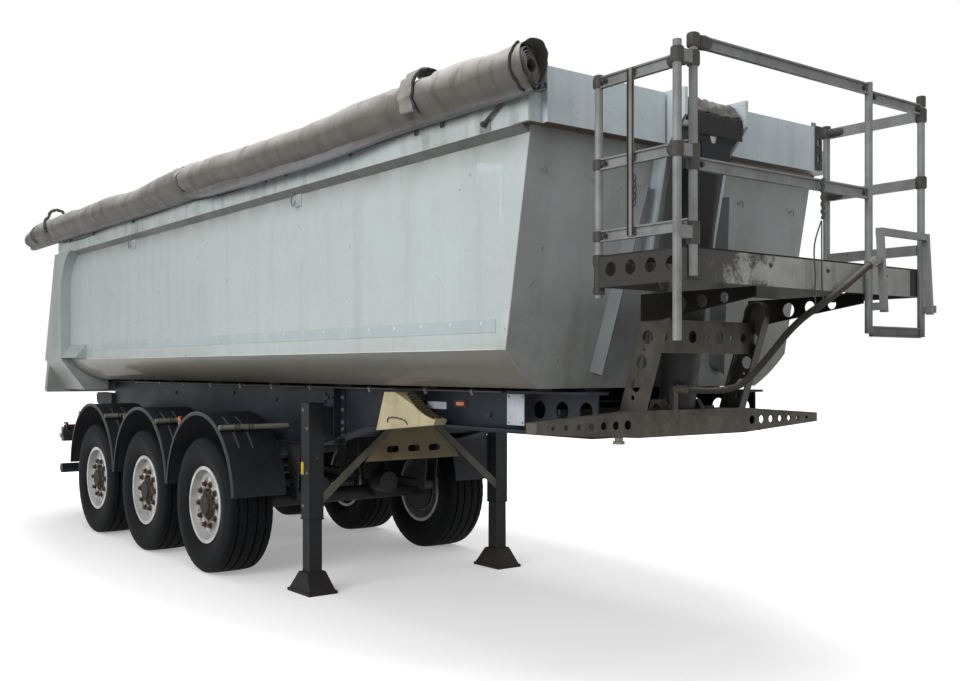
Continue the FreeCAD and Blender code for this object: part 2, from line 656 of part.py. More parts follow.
def make_front_ribs():
    """Folded ribs that lean together up the front wall, each with a ridge and a pointed lower end."""
    low = BED_BOTTOM + 70
    high = RAIL_BOTTOM - 220

    def ring(z, outer, ridge_y, inner, drops):
        points = [(outer, drops[0], 0), (ridge_y, drops[1], RIB_HEIGHT), (inner, drops[2], 0)]
        corners = [Vector(front_wall_x(z + drop) + proud, y, z + drop) for y, drop, proud in points]
        return Part.makePolygon(corners + corners[:1])
    foot = ring(low, 545, 508, 425, (20, 0, 75))
    head = ring(high, 370, 335, BRACKET_HALF_WIDTH + 8, (0, 0, 0))
    return both_sides(Part.makeLoft([foot, head], True, True))


def make_headboard():
    """Box beam across the top of the front wall, open in the middle for the cylinder."""
    rear = front_wall_x(HEADBOARD_BOTTOM)
    front = rear + HEADBOARD_DEPTH
    beam = block((rear, front), (-HEADBOARD_HALF_WIDTH, HEADBOARD_HALF_WIDTH), (RAIL_BOTTOM, HEADBOARD_TOP))
    half = HEADBOARD_GAP_HALF_WIDTH
    gap = block((rear + 8, front + 1), (-half, half), (HEADBOARD_BOTTOM - 1, HEADBOARD_TOP + 1))
    return beam.cut(gap)


def make_cylinder_bracket():
    """Cheeks beside the cylinder's head, which run on down the front wall, with the pin that lifts the bed."""
    rear = front_wall_x(HEADBOARD_BOTTOM) + 8
    nose = CYLINDER_HEAD[0] + 75
    top = HEADBOARD_TOP + 12
    foot = RAIL_BOTTOM - 720
    chin = RAIL_BOTTOM - 30
    outer = BRACKET_HALF_WIDTH
    inner = outer - BRACKET_PLATE
    outline = [
        (rear, RAIL_BOTTOM), (front_wall_x(RAIL_BOTTOM), RAIL_BOTTOM), (front_wall_x(foot), foot),
        (front_wall_x(foot) + BRACKET_PROUD, foot + 90), (front_wall_x(chin) + BRACKET_PROUD, chin),
        (nose, RAIL_BOTTOM + 140), (nose, top), (rear, top),
    ]
    cheeks = [plate_xz(outline, sorted((side * inner, side * outer))) for side in SIDES.values()]
    back = block((rear, rear + 10), (-outer, outer), (RAIL_BOTTOM, top))
    cap = block((rear, rear + 70), (-outer, outer), (top - 12, top))
    pin = rod((CYLINDER_HEAD[0], -inner - 10, CYLINDER_HEAD[1]), (CYLINDER_HEAD[0], inner + 10, CYLINDER_HEAD[1]),
              CYLINDER_PIN_RADIUS)
    return fused(cheeks + [back, cap, pin])


def make_top_rails():
    """Box rails along both sides, with the ears that the tailgate hangs on."""
    y = (RAIL_HALF_WIDTH - RAIL_WIDTH, RAIL_HALF_WIDTH)
    rail = block((RAIL_REAR_X, RAIL_FRONT_X), y, (RAIL_BOTTOM, RAIL_TOP))
    ear_y = (RAIL_HALF_WIDTH - 45, RAIL_HALF_WIDTH - 25)
    ear = [(RAIL_REAR_X, RAIL_BOTTOM + 10), (RAIL_REAR_X, RAIL_TOP - 10), (GATE_HINGE_X, GATE_HINGE_Z + 35),
           (GATE_HINGE_X, GATE_HINGE_Z - 35)]
    nose = rod((GATE_HINGE_X, ear_y[0], GATE_HINGE_Z), (GATE_HINGE_X, ear_y[1], GATE_HINGE_Z), 35)
    pin_end = ear_y[0] - 50
    pin = rod((GATE_HINGE_X, pin_end, GATE_HINGE_Z), (GATE_HINGE_X, ear_y[1] - 10, GATE_HINGE_Z), GATE_PIN_RADIUS)
    return both_sides(fused([rail, plate_xz(ear, ear_y), nose, pin]))


def make_rear_frame():
    """Leaning frame round the rear opening, flared towards the rails, with a wedge over each foot."""
    outline = [
        (-FRAME_HALF_WIDTH, RAIL_BOTTOM), (-FRAME_HALF_WIDTH, FRAME_FOOT), (-FRAME_BOTTOM_HALF_WIDTH, FRAME_BOTTOM),
        (FRAME_BOTTOM_HALF_WIDTH, FRAME_BOTTOM), (FRAME_HALF_WIDTH, FRAME_FOOT), (FRAME_HALF_WIDTH, RAIL_BOTTOM),
    ]
    flare_x = FRAME_FRONT_X + FRAME_FLARE
    flare_z = RAIL_BOTTOM - FRAME_FLARE_HEIGHT
    frame = plate_yz(outline, (frame_rear_x(FRAME_BOTTOM) - 50, flare_x + 50))
    corners = [
        Vector(flare_x, -2000, RAIL_BOTTOM), Vector(frame_rear_x(RAIL_BOTTOM), -2000, RAIL_BOTTOM),
        Vector(frame_rear_x(FRAME_BOTTOM), -2000, FRAME_BOTTOM), Vector(FRAME_FRONT_X, -2000, FRAME_BOTTOM),
        Vector(FRAME_FRONT_X, -2000, flare_z),
    ]
    bend = Vector(FRAME_FRONT_X + 0.22 * FRAME_FLARE, -2000, RAIL_BOTTOM - 0.42 * FRAME_FLARE_HEIGHT)
    edges = Part.makePolygon(corners).Edges + [Part.Arc(corners[-1], bend, corners[0]).toShape()]
    band = Part.Face(Part.Wire(edges)).extrude(Vector(0, 4000, 0))
    notch_y = BEAM_CENTRE_Y + FLANGE_WIDTH / 2 + 30
    notch_x = (CHASSIS_REAR_X - FRAME_CLEARANCE, flare_x + 50)
    notch = block(notch_x, (-notch_y, notch_y), (FRAME_BOTTOM - 1, BED_BOTTOM))
    frame = frame.common(band).cut(tub_solid(-SEAT_GAP)).cut(notch)
    low = FRAME_FOOT + 10
    inner = BED_HALF_WIDTH + SEAT_GAP
    wedge = plate_yz([(inner, low), (FRAME_HALF_WIDTH, low), (FRAME_HALF_WIDTH, low + 12), (inner, low + 140)],
                     (FRAME_FRONT_X - 40, FRAME_FRONT_X + WEDGE_LENGTH))
    return fused([frame] + both_sides(wedge))


def make_bearers():
    """Long channels under the tub's floor, between the chassis beams."""
    low = BED_BOTTOM - 100
    outline = [
        (350, BED_BOTTOM - SEAT_GAP), (350, low), (430, low), (430, low + 8), (358, low + 8), (358, BED_BOTTOM - 8),
        (430, BED_BOTTOM - 8), (430, BED_BOTTOM - SEAT_GAP),
    ]
    return both_sides(plate_yz(outline, (FRAME_FRONT_X + 40, FRONT_WALL_X - 225)))


def make_hinge_lugs():
    """Lugs under the rear frame that turn on the chassis shaft."""
    outline = [(HINGE_X - 120, FRAME_BOTTOM), (HINGE_X - 60, HINGE_Z), (HINGE_X + 60, HINGE_Z),
               (HINGE_X + 120, FRAME_BOTTOM)]
    y = (330, 400)
    lug = plate_xz(outline, y)
    nose = rod((HINGE_X, y[0], HINGE_Z), (HINGE_X, y[1], HINGE_Z), 66)
    bore = rod((HINGE_X, y[0] - 1, HINGE_Z), (HINGE_X, y[1] + 1, HINGE_Z), HINGE_PIN_RADIUS + SEAT_GAP)
    return both_sides(fused([lug, nose]).cut(bore))


def make_tarp_roll():
    """The rolled tarpaulin, which lies along the right rail."""
    return rod((ROLL_REAR_X, ROLL_Y, ROLL_Z), (ROLL_FRONT_X, ROLL_Y, ROLL_Z), ROLL_RADIUS)


# Tailgate
def make_tailgate():
    """Leaning gate with pressed panels between its bars, hung on two eyes at the top."""
    lean = math.atan(REAR_SLOPE)
    face = (GATE_HINGE_X - frame_rear_x(GATE_HINGE_Z)) * math.cos(lean) + SEAT_GAP
    near = -face
    top = GATE_HINGE_Z - GATE_DROP
    bottom = top - GATE_HEIGHT
    x = (GATE_HINGE_X + near - GATE_THICKNESS, GATE_HINGE_X + near)
    slab = block(x, (-GATE_HALF_WIDTH, GATE_HALF_WIDTH), (bottom, top))
    rows = 4
    pitch = (top - bottom - 60) / rows
    columns = 3
    width = (2 * GATE_HALF_WIDTH - 60) / columns
    for row in range(rows):
        low = bottom + 60 + row * pitch
        for column in range(columns):
            left = -GATE_HALF_WIDTH + 60 + column * width
            slab = slab.cut(block((x[0] - 1, x[1] - BED_WALL), (left, left + width - 60), (low, low + pitch - 60)))
    pieces = [slab]
    for side in SIDES.values():
        y = sorted((side * (GATE_HALF_WIDTH - 78), side * (GATE_HALF_WIDTH - 52)))
        pieces.append(block((GATE_HINGE_X - 30, GATE_HINGE_X + 30), y, (top - 40, GATE_HINGE_Z)))
        pieces.append(block((GATE_HINGE_X - 30, x[1]), y, (top - 40, top)))
        pieces.append(rod((GATE_HINGE_X, y[0], GATE_HINGE_Z), (GATE_HINGE_X, y[1], GATE_HINGE_Z), 32))
    gate = fused(pieces)
    hole = rod((GATE_HINGE_X, -GATE_HALF_WIDTH, GATE_HINGE_Z), (GATE_HINGE_X, GATE_HALF_WIDTH, GATE_HINGE_Z),
               GATE_PIN_RADIUS + SEAT_GAP)
    gate = gate.cut(hole)
    gate.rotate(Vector(GATE_HINGE_X, 0, GATE_HINGE_Z), ALONG_Y, math.degrees(lean))
    return gate


# Cylinder
def cylinder_point(along, y=0):
    """A point on the cylinder's line, that far from its foot."""
    run = Vector(CYLINDER_HEAD[0] - CYLINDER_FOOT[0], 0, CYLINDER_HEAD[1] - CYLINDER_FOOT[1])
    run.normalize()
    return (CYLINDER_FOOT[0] + run.x * along, y, CYLINDER_FOOT[1] + run.z * along)


CYLINDER_LENGTH = math.hypot(CYLINDER_HEAD[0] - CYLINDER_FOOT[0], CYLINDER_HEAD[1] - CYLINDER_FOOT[1])
BARREL_LENGTH = 1340
STAGE_STEP = 24


def make_cylinder_barrel():
    """Outer tube with its foot, which swings on a cross pin in the chassis."""
    tube = pipe(cylinder_point(40), cylinder_point(BARREL_LENGTH), CYLINDER_RADIUS, STAGE_WALL)
    base = rod(cylinder_point(10), cylinder_point(40), CYLINDER_RADIUS)
    trunnion = rod(cylinder_point(0, -CRADLE_OUTER_Y + 10), cylinder_point(0, CRADLE_OUTER_Y - 10), TRUNNION_RADIUS)
    return fused([tube, base, trunnion])


def make_cylinder_stage(number):
    """One tube of the telescope, counted from 1; the last carries the head's eye."""
    radius = CYLINDER_RADIUS - (STAGE_WALL + SEAT_GAP) * number
    end = BARREL_LENGTH + STAGE_STEP * number
    start = 42 + 2 * number
    if number < CYLINDER_STAGES:
        return pipe(cylinder_point(start), cylinder_point(end), radius, STAGE_WALL)
    stem = rod(cylinder_point(start), cylinder_point(CYLINDER_LENGTH - 30), radius)
    eye = rod(cylinder_point(CYLINDER_LENGTH, -45), cylinder_point(CYLINDER_LENGTH, 45), 52)
    bore = rod(cylinder_point(CYLINDER_LENGTH, -46), cylinder_point(CYLINDER_LENGTH, 46),
               CYLINDER_PIN_RADIUS + SEAT_GAP)
    return fused([stem, eye]).cut(bore)


# Platform
def make_front_crossbeam():
    """Channel across the chassis nose with a shelf behind it, tapering wings and a closed box at each wing's tip."""
    rear = CHASSIS_FRONT_X
    front = rear + CROSSBEAM_DEPTH
    wing = BED_HALF_WIDTH
    low = COUPLING_HEIGHT + 45
    high = CROSSBEAM_TOP - 45
    outer = [
        (-wing, low), (-440, COUPLING_HEIGHT), (440, COUPLING_HEIGHT), (wing, low), (wing, high),
        (440, CROSSBEAM_TOP), (-440, CROSSBEAM_TOP), (-wing, high),
    ]
    inner = [
        (90 - wing, low + 12), (-440, COUPLING_HEIGHT + 8), (440, COUPLING_HEIGHT + 8), (wing - 90, low + 12),
        (wing - 90, high - 12), (440, CROSSBEAM_TOP - 8), (-440, CROSSBEAM_TOP - 8), (90 - wing, high - 12),
    ]
    beam = plate_yz(outer, (rear, front)).cut(plate_yz(inner, (rear - 1, front - 8)))
    shelf = block((STAND_REAR_X, rear + 20), (-STAND_CENTRE_Y - 20, STAND_CENTRE_Y + 20),
                  (CROSSBEAM_TOP - 8, CROSSBEAM_TOP))
    beam = fused([beam, shelf])
    middle_z = (COUPLING_HEIGHT + CROSSBEAM_TOP) / 2
    for step in range(7):
        for side in SIDES.values():
            y = side * (515 + 88 * step)
            beam = beam.cut(rod((front - 20, y, middle_z), (front + 1, y, middle_z), 26 - 2.4 * step))
    notch = (-CRADLE_OUTER_Y, CRADLE_OUTER_Y)
    beam = beam.cut(block((STAND_REAR_X - 1, front - 8), notch, (CROSSBEAM_TOP - 20, CROSSBEAM_TOP + 20)))
    cradle = []
    foot_x, foot_z = CYLINDER_FOOT
    sole = COUPLING_HEIGHT + 8
    cheek_outline = [
        (foot_x - 100, NECK_BOTTOM + SEAT_GAP), (rear + SEAT_GAP, NECK_BOTTOM + SEAT_GAP), (rear + SEAT_GAP, sole),
        (front - 4, sole), (front - 4, sole + 70), (foot_x + 40, foot_z + 55), (foot_x - 40, foot_z + 55),
    ]
    bore = rod((foot_x, -200, foot_z), (foot_x, 200, foot_z), TRUNNION_RADIUS + SEAT_GAP)
    for side in SIDES.values():
        y = sorted((side * CRADLE_INNER_Y, side * CRADLE_OUTER_Y))
        cradle.append(plate_xz(cheek_outline, y).cut(bore))
    floor = block((foot_x - 100, rear - 10), notch, (NECK_BOTTOM + SEAT_GAP, NECK_BOTTOM + 8))
    socket = hose_socket(HOSE_ROUTE[-1], HOSE_ROUTE[-2], 70)
    holder = block((front - 34, front), (-CRADLE_OUTER_Y, -CRADLE_INNER_Y), (sole + 40, HOSE_ROUTE[-1][2] + 20))
    return fused([beam, floor, holder, socket] + cradle)


def stand_rear_x(z):
    return STAND_REAR_X + STAND_LEAN * (z - CROSSBEAM_TOP)


def make_platform_stand():
    """Two leaning channels with a rounded head and lightening holes, tied by a cross plate."""
    width = STAND_WIDTH
    head = STAND_TOP - width / 2
    low = CROSSBEAM_TOP
    y = (STAND_CENTRE_Y - 56, STAND_CENTRE_Y)

    def channel(inset, y):
        """The leg's side view, drawn in by a plate's thickness."""
        sides = [(stand_rear_x(low) + inset, low), (stand_rear_x(low) + width - inset, low),
                 (stand_rear_x(head) + width - inset, head), (stand_rear_x(head) + inset, head)]
        centre = stand_rear_x(head) + width / 2
        return fused([plate_xz(sides, y), rod((centre, y[0], head), (centre, y[1], head), width / 2 - inset)])
    leg = channel(0, y).cut(channel(8, (y[0] - 1, y[1] - 8)))
    for rise, radius in ((70, 14), (135, 34), (262, 36), (395, 36), (200, 9), (330, 9)):
        z = low + rise
        x = stand_rear_x(z) + width / 2
        leg = leg.cut(rod((x, y[0] - 1, z), (x, y[1] + 1, z), radius))
    web_y = STAND_CENTRE_Y - 8
    tie_z = low + 400
    tie = block((TIE_X, TIE_X + 8), (-web_y, web_y), (tie_z - 90, tie_z + 90))
    tie = tie.cut(fused([rod((TIE_X - 1, hole_y, tie_z), (TIE_X + 9, hole_y, tie_z), radius)
                         for hole_y, radius in TIE_HOLES]))
    return fused(both_sides(leg) + [tie])


def make_platform_bearers():
    """Tapered brackets from the stand to the front edge of the deck."""
    bottom = DECK_TOP - DECK_EDGE - SEAT_GAP
    low = STAND_TOP - 130
    rear = stand_rear_x(low) + 5
    outline = [
        (rear, low), (rear + 130, low), (DECK_FRONT_X - 20, bottom - 50), (DECK_FRONT_X - 20, bottom), (rear, bottom),
    ]
    plate = plate_xz(outline, (STAND_CENTRE_Y, STAND_CENTRE_Y + 10))
    for ahead, below, radius in ((70, 220, 40), (210, 210, 34), (350, 200, 28)):
        x = DECK_REAR_X + ahead
        z = DECK_TOP - below
        plate = plate.cut(rod((x, STAND_CENTRE_Y - 1, z), (x, STAND_CENTRE_Y + 11, z), radius))
    return both_sides(plate)


def make_platform_plate():
    return block((DECK_REAR_X, DECK_FRONT_X), (-DECK_HALF_WIDTH, DECK_HALF_WIDTH), (DECK_TOP - DECK_PLATE, DECK_TOP))


def make_platform_edges():
    """Edge plates under the deck; the end ones have four round holes."""
    z = (DECK_TOP - DECK_EDGE, DECK_TOP - DECK_PLATE - SEAT_GAP)
    edges = []
    for x in (DECK_REAR_X, DECK_FRONT_X - 6):
        edges.append(block((x, x + 6), (-DECK_HALF_WIDTH, DECK_HALF_WIDTH), z))
    end = block((DECK_REAR_X + 6 + SEAT_GAP, DECK_FRONT_X - 6 - SEAT_GAP), (DECK_HALF_WIDTH - 6, DECK_HALF_WIDTH), z)
    for step in range(4):
        x = DECK_REAR_X + 80 + step * 130
        z_hole = DECK_TOP - 70
        end = end.cut(rod((x, DECK_HALF_WIDTH - 10, z_hole), (x, DECK_HALF_WIDTH + 10, z_hole), 35))
    return edges + both_sides(end)


POST_OFFSET = POST_RADIUS + SEAT_GAP
POST_INSET = 40
REAR_POST_X = DECK_REAR_X - POST_OFFSET
FRONT_POST_X = DECK_FRONT_X + POST_OFFSET
END_POST_Y = DECK_HALF_WIDTH + POST_OFFSET - POST_INSET
LADDER_POST_Y = 430
SPARE_POST_Y = -END_POST_Y - 105
LADDER_CENTRE_Y = (LADDER_POST_Y + END_POST_Y) / 2

# Handrail posts; the columns are x, y, bottom and top
POSTS = [
    (REAR_POST_X, -END_POST_Y, 1950, 3030),
    (FRONT_POST_X, SPARE_POST_Y, 1730, 3050),
    (FRONT_POST_X, -END_POST_Y, 2020, 3090),
    (REAR_POST_X, END_POST_Y, 2000, 3040),
    (FRONT_POST_X, LADDER_POST_Y, 1790, 3100),
    (FRONT_POST_X, END_POST_Y, 1780, 3098),
]
CLAMP_HEIGHTS = (2985, 2570, 2210)


STEP_PIVOT_X = 4870
STEP_PIVOT_Z = 1930
STEP_PIN_RADIUS = 12
STEP_TOP = 2340
STEP_BAR = 36
EYE_WIDTH = 14


def make_handrail_posts():
    """Round posts; the two beside the ladder carry the eyes of the folding step."""
    posts = []
    for x, y, bottom, top in POSTS:
        post = rod((x, y, bottom), (x, y, top), POST_RADIUS)
        if y == SPARE_POST_Y:
            for z in CLAMP_HEIGHTS:
                clamp = block((x - 18, x + 18), (y, -END_POST_Y - POST_OFFSET), (z - 28, z + 28))
                post = fused([post, clamp])
        if x == FRONT_POST_X and y > 0:
            inward = 1 if y < LADDER_CENTRE_Y else -1
            eye_y = sorted((y, y + inward * EYE_WIDTH))
            eye = block((x, STEP_PIVOT_X + 20), eye_y, (STEP_PIVOT_Z - 20, STEP_PIVOT_Z + 20))
            bore = rod((STEP_PIVOT_X, eye_y[0] - 1, STEP_PIVOT_Z), (STEP_PIVOT_X, eye_y[1] + 1, STEP_PIVOT_Z),
                       STEP_PIN_RADIUS + SEAT_GAP)
            post = fused([post, eye]).cut(bore)
        if (x, y) == (FRONT_POST_X, LADDER_POST_Y):
            hose_x, hose_y, hose_z = HOSE_ROUTE[0]
            arm = block((x, hose_x + 20), (hose_y + 28, y), (hose_z + 10, hose_z + 40))
            post = fused([post, arm, hose_socket(HOSE_ROUTE[0], HOSE_ROUTE[1], 50)])
        posts.append(post)
    return posts


def make_handrail_rails():
    """Flat rails between the posts."""
    reach = POST_OFFSET
    half = RAIL_BAR_HEIGHT / 2
    rails = []
    thick = RAIL_BAR_THICKNESS / 2
    lip = 8
    end_y = END_POST_Y
    front_x = (FRONT_POST_X - thick, FRONT_POST_X + thick)
    main_y = (-end_y + reach, LADDER_POST_Y - reach)
    ladder_y = (LADDER_POST_Y + reach, end_y - reach)
    for y, z in ((main_y, 3065), (main_y, 2520), (ladder_y, 3030), (ladder_y, 1802)):
        bar = block(front_x, y, (z - half, z + half))
        groove_y = (y[0] - 1, y[1] + 1)
        rails.append(bar.cut(block((FRONT_POST_X, front_x[1] + 1), groove_y, (z - half + lip, z + half - lip))))
    side_x = (REAR_POST_X + reach, FRONT_POST_X - reach)
    for side, heights in ((-1, (3000, 2600, 2250)), (1, (3000, 2630, 2260))):
        for z in heights:
            bar = block(side_x, (side * end_y - thick, side * end_y + thick), (z - half, z + half))
            groove = sorted((side * end_y, side * (end_y + thick + 1)))
            rails.append(bar.cut(block((side_x[0] - 1, side_x[1] + 1), groove, (z - half + lip, z + half - lip))))
    middle_x = (DECK_REAR_X + DECK_FRONT_X) / 2
    outer_y = -end_y - thick
    rails.append(block((middle_x - 80, middle_x - 50), (outer_y - 8, outer_y - SEAT_GAP), (2230, 3020)))
    return rails


def make_folding_step():
    """Hoop that stands against the ladder posts and swings down, so that its bar is the lowest step."""
    stile = [
        (STEP_PIVOT_X - 18, STEP_PIVOT_Z - 30), (STEP_PIVOT_X + 18, STEP_PIVOT_Z - 30),
        (STEP_PIVOT_X - 7, STEP_TOP), (STEP_PIVOT_X - 43, STEP_TOP),
    ]
    inset = EYE_WIDTH + MOVING_GAP
    low_y = LADDER_POST_Y + inset
    high_y = END_POST_Y - inset
    bars = [plate_xz(stile, (low_y, low_y + 24)), plate_xz(stile, (high_y - 24, high_y))]
    bars.append(block((STEP_PIVOT_X - 43, STEP_PIVOT_X - 9), (low_y, high_y), (STEP_TOP - STEP_BAR, STEP_TOP)))
    pins = [(LADDER_POST_Y + 1, low_y + 12), (high_y - 12, END_POST_Y - 1)]
    for low, high in pins:
        bars.append(rod((STEP_PIVOT_X, low, STEP_PIVOT_Z), (STEP_PIVOT_X, high, STEP_PIVOT_Z), STEP_PIN_RADIUS))
    return fused(bars)


def make_air_hose():
    """Straight runs joined by tangent arcs, whose radius follows from the shorter run and the turn."""
    points = [Vector(*point) for point in HOSE_ROUTE]
    edges = []
    last = points[0]
    for before, bend, after in zip(points, points[1:], points[2:]):
        run_in = (bend - before).normalize()
        run_out = (after - bend).normalize()
        reach = 0.45 * min((bend - before).Length, (after - bend).Length)
        start = bend - run_in * reach
        end = bend + run_out * reach
        half_turn = run_in.getAngle(run_out) / 2
        radius = reach / math.tan(half_turn)
        inward = (run_out - run_in).normalize()
        middle = bend + inward * (radius / math.cos(half_turn) - radius)
        edges.append(Part.makeLine(last, start))
        edges.append(Part.Arc(start, middle, end).toShape())
        last = end
    edges.append(Part.makeLine(last, points[-1]))
    ring = Part.Wire(Part.makeCircle(HOSE_RADIUS, points[0], points[1] - points[0]))
    return Part.Wire(edges).makePipeShell([ring], True, False)


def main():
    os.makedirs("parts", exist_ok=True)
    for number, x in enumerate(AXLES_X, 1):
        for name, side in SIDES.items():
            save(f"tyre_{number}_{name}", make_tyre(x, side))
            save(f"rim_{number}_{name}", make_rim(x, side))
    hangers, arms, springs = make_suspension()
    save("axles", *make_axles())
    save("suspension_hangers", *hangers)
    save("trailing_arms", *arms)
    save("air_springs", *springs)
    save("mudguards", *make_mudguards())
    save("mudguard_stays", *make_mudguard_stays())
    save("chassis_beams", *both_sides(make_beam()))
    save("crossmembers", *make_crossmembers())
    save("rest_pads", *make_rest_pads())
    save("coupling_plate", make_coupling_plate())
    save("kingpin", make_kingpin())
    save("hinge_brackets", make_hinge_brackets())
    save("landing_legs", *make_landing_legs())
    save("landing_rams", *make_landing_rams())
    save("landing_cross_plate", make_landing_cross_plate())
    save("landing_braces", *make_landing_braces())
    save("air_tanks", *make_air_tanks())
    save("underrun_arms", *make_underrun_arms())
    save("underrun_bar", make_underrun_bar())
    save("rear_lamps", *make_rear_lamps())
    save("wheel_chock", make_wheel_chock())
    save("bed_tub", make_tub())
    save("bed_front_wall", make_front_wall())
    save("bed_front_ribs", *make_front_ribs())
    save("bed_headboard", make_headboard())
    save("cylinder_bracket", make_cylinder_bracket())
    save("bed_top_rails", *make_top_rails())
    save("bed_rear_frame", make_rear_frame())
    save("bed_bearers", *make_bearers())
    save("bed_hinge_lugs", *make_hinge_lugs())
    save("tarp_roll", make_tarp_roll())
    save("tailgate", make_tailgate())
    save("cylinder_barrel", make_cylinder_barrel())
    for number in range(1, CYLINDER_STAGES + 1):
        save(f"cylinder_stage_{number}", make_cylinder_stage(number))
    save("front_crossbeam", make_front_crossbeam())
    save("platform_stand", make_platform_stand())
    save("platform_bearers", *make_platform_bearers())
    save("platform_plate", make_platform_plate())
    save("platform_edges", *make_platform_edges())
    save("handrail_posts", *make_handrail_posts())
    save("handrail_rails", *make_handrail_rails())
    save("folding_step", make_folding_step())
    save("air_hose", make_air_hose())


main()
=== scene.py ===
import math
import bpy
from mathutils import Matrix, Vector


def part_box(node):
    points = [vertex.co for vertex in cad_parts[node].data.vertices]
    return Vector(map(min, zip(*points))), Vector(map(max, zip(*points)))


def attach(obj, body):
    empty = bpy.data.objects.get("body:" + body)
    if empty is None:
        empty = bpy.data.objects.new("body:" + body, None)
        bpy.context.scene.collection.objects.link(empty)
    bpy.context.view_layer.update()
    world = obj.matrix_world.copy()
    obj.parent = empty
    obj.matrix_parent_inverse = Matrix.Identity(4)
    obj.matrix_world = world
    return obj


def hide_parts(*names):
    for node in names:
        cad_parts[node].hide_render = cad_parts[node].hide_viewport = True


bl_info = {
    "name": "Dump Trailer Dressing",
    "version": (1, 0, 0),
    "blender": (4, 5, 0),
    "location": "3D View > Sidebar > Trailer",
    "description": "Wheels, rolled sheet, platform fittings and finishes for the packed dump trailer",
    "category": "Object",
}

import bmesh
import bpy
from mathutils import Vector, noise

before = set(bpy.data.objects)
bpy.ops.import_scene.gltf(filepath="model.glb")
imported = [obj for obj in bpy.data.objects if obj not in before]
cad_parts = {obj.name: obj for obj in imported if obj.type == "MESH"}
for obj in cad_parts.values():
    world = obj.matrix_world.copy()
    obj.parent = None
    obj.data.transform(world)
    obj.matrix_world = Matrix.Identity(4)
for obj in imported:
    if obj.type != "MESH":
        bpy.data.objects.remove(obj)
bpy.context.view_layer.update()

# Places below count x from the first axle, y from the middle and z from the ground, in metres.
FIRST_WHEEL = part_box("tyre_1_right")
ORIGIN = Vector(((FIRST_WHEEL[0].x + FIRST_WHEEL[1].x) / 2, 0, FIRST_WHEEL[0].z))
AXLE_PITCH = FIRST_WHEEL[0].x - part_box("tyre_2_right")[0].x
WHEEL_CENTRE_Y = -(FIRST_WHEEL[0].y + FIRST_WHEEL[1].y) / 2
TYRE_RADIUS = (FIRST_WHEEL[1].z - FIRST_WHEEL[0].z) / 2
SIDES = {"right": -1, "left": 1}
AXLES = (1, 2, 3)

# A fitting stands this far off the face of the solid that carries it
GAP = 0.0005

# Edges sharper than this many degrees stay sharp
SHARP_ANGLE = 35


def srgb(red, green, blue):
    """A colour as it looks on a screen, from 0 to 255, as Blender's own linear numbers."""
    parts = [value / 255 for value in (red, green, blue)]
    return tuple(p / 12.92 if p <= 0.04045 else ((p + 0.055) / 1.055) ** 2.4 for p in parts) + (1.0,)


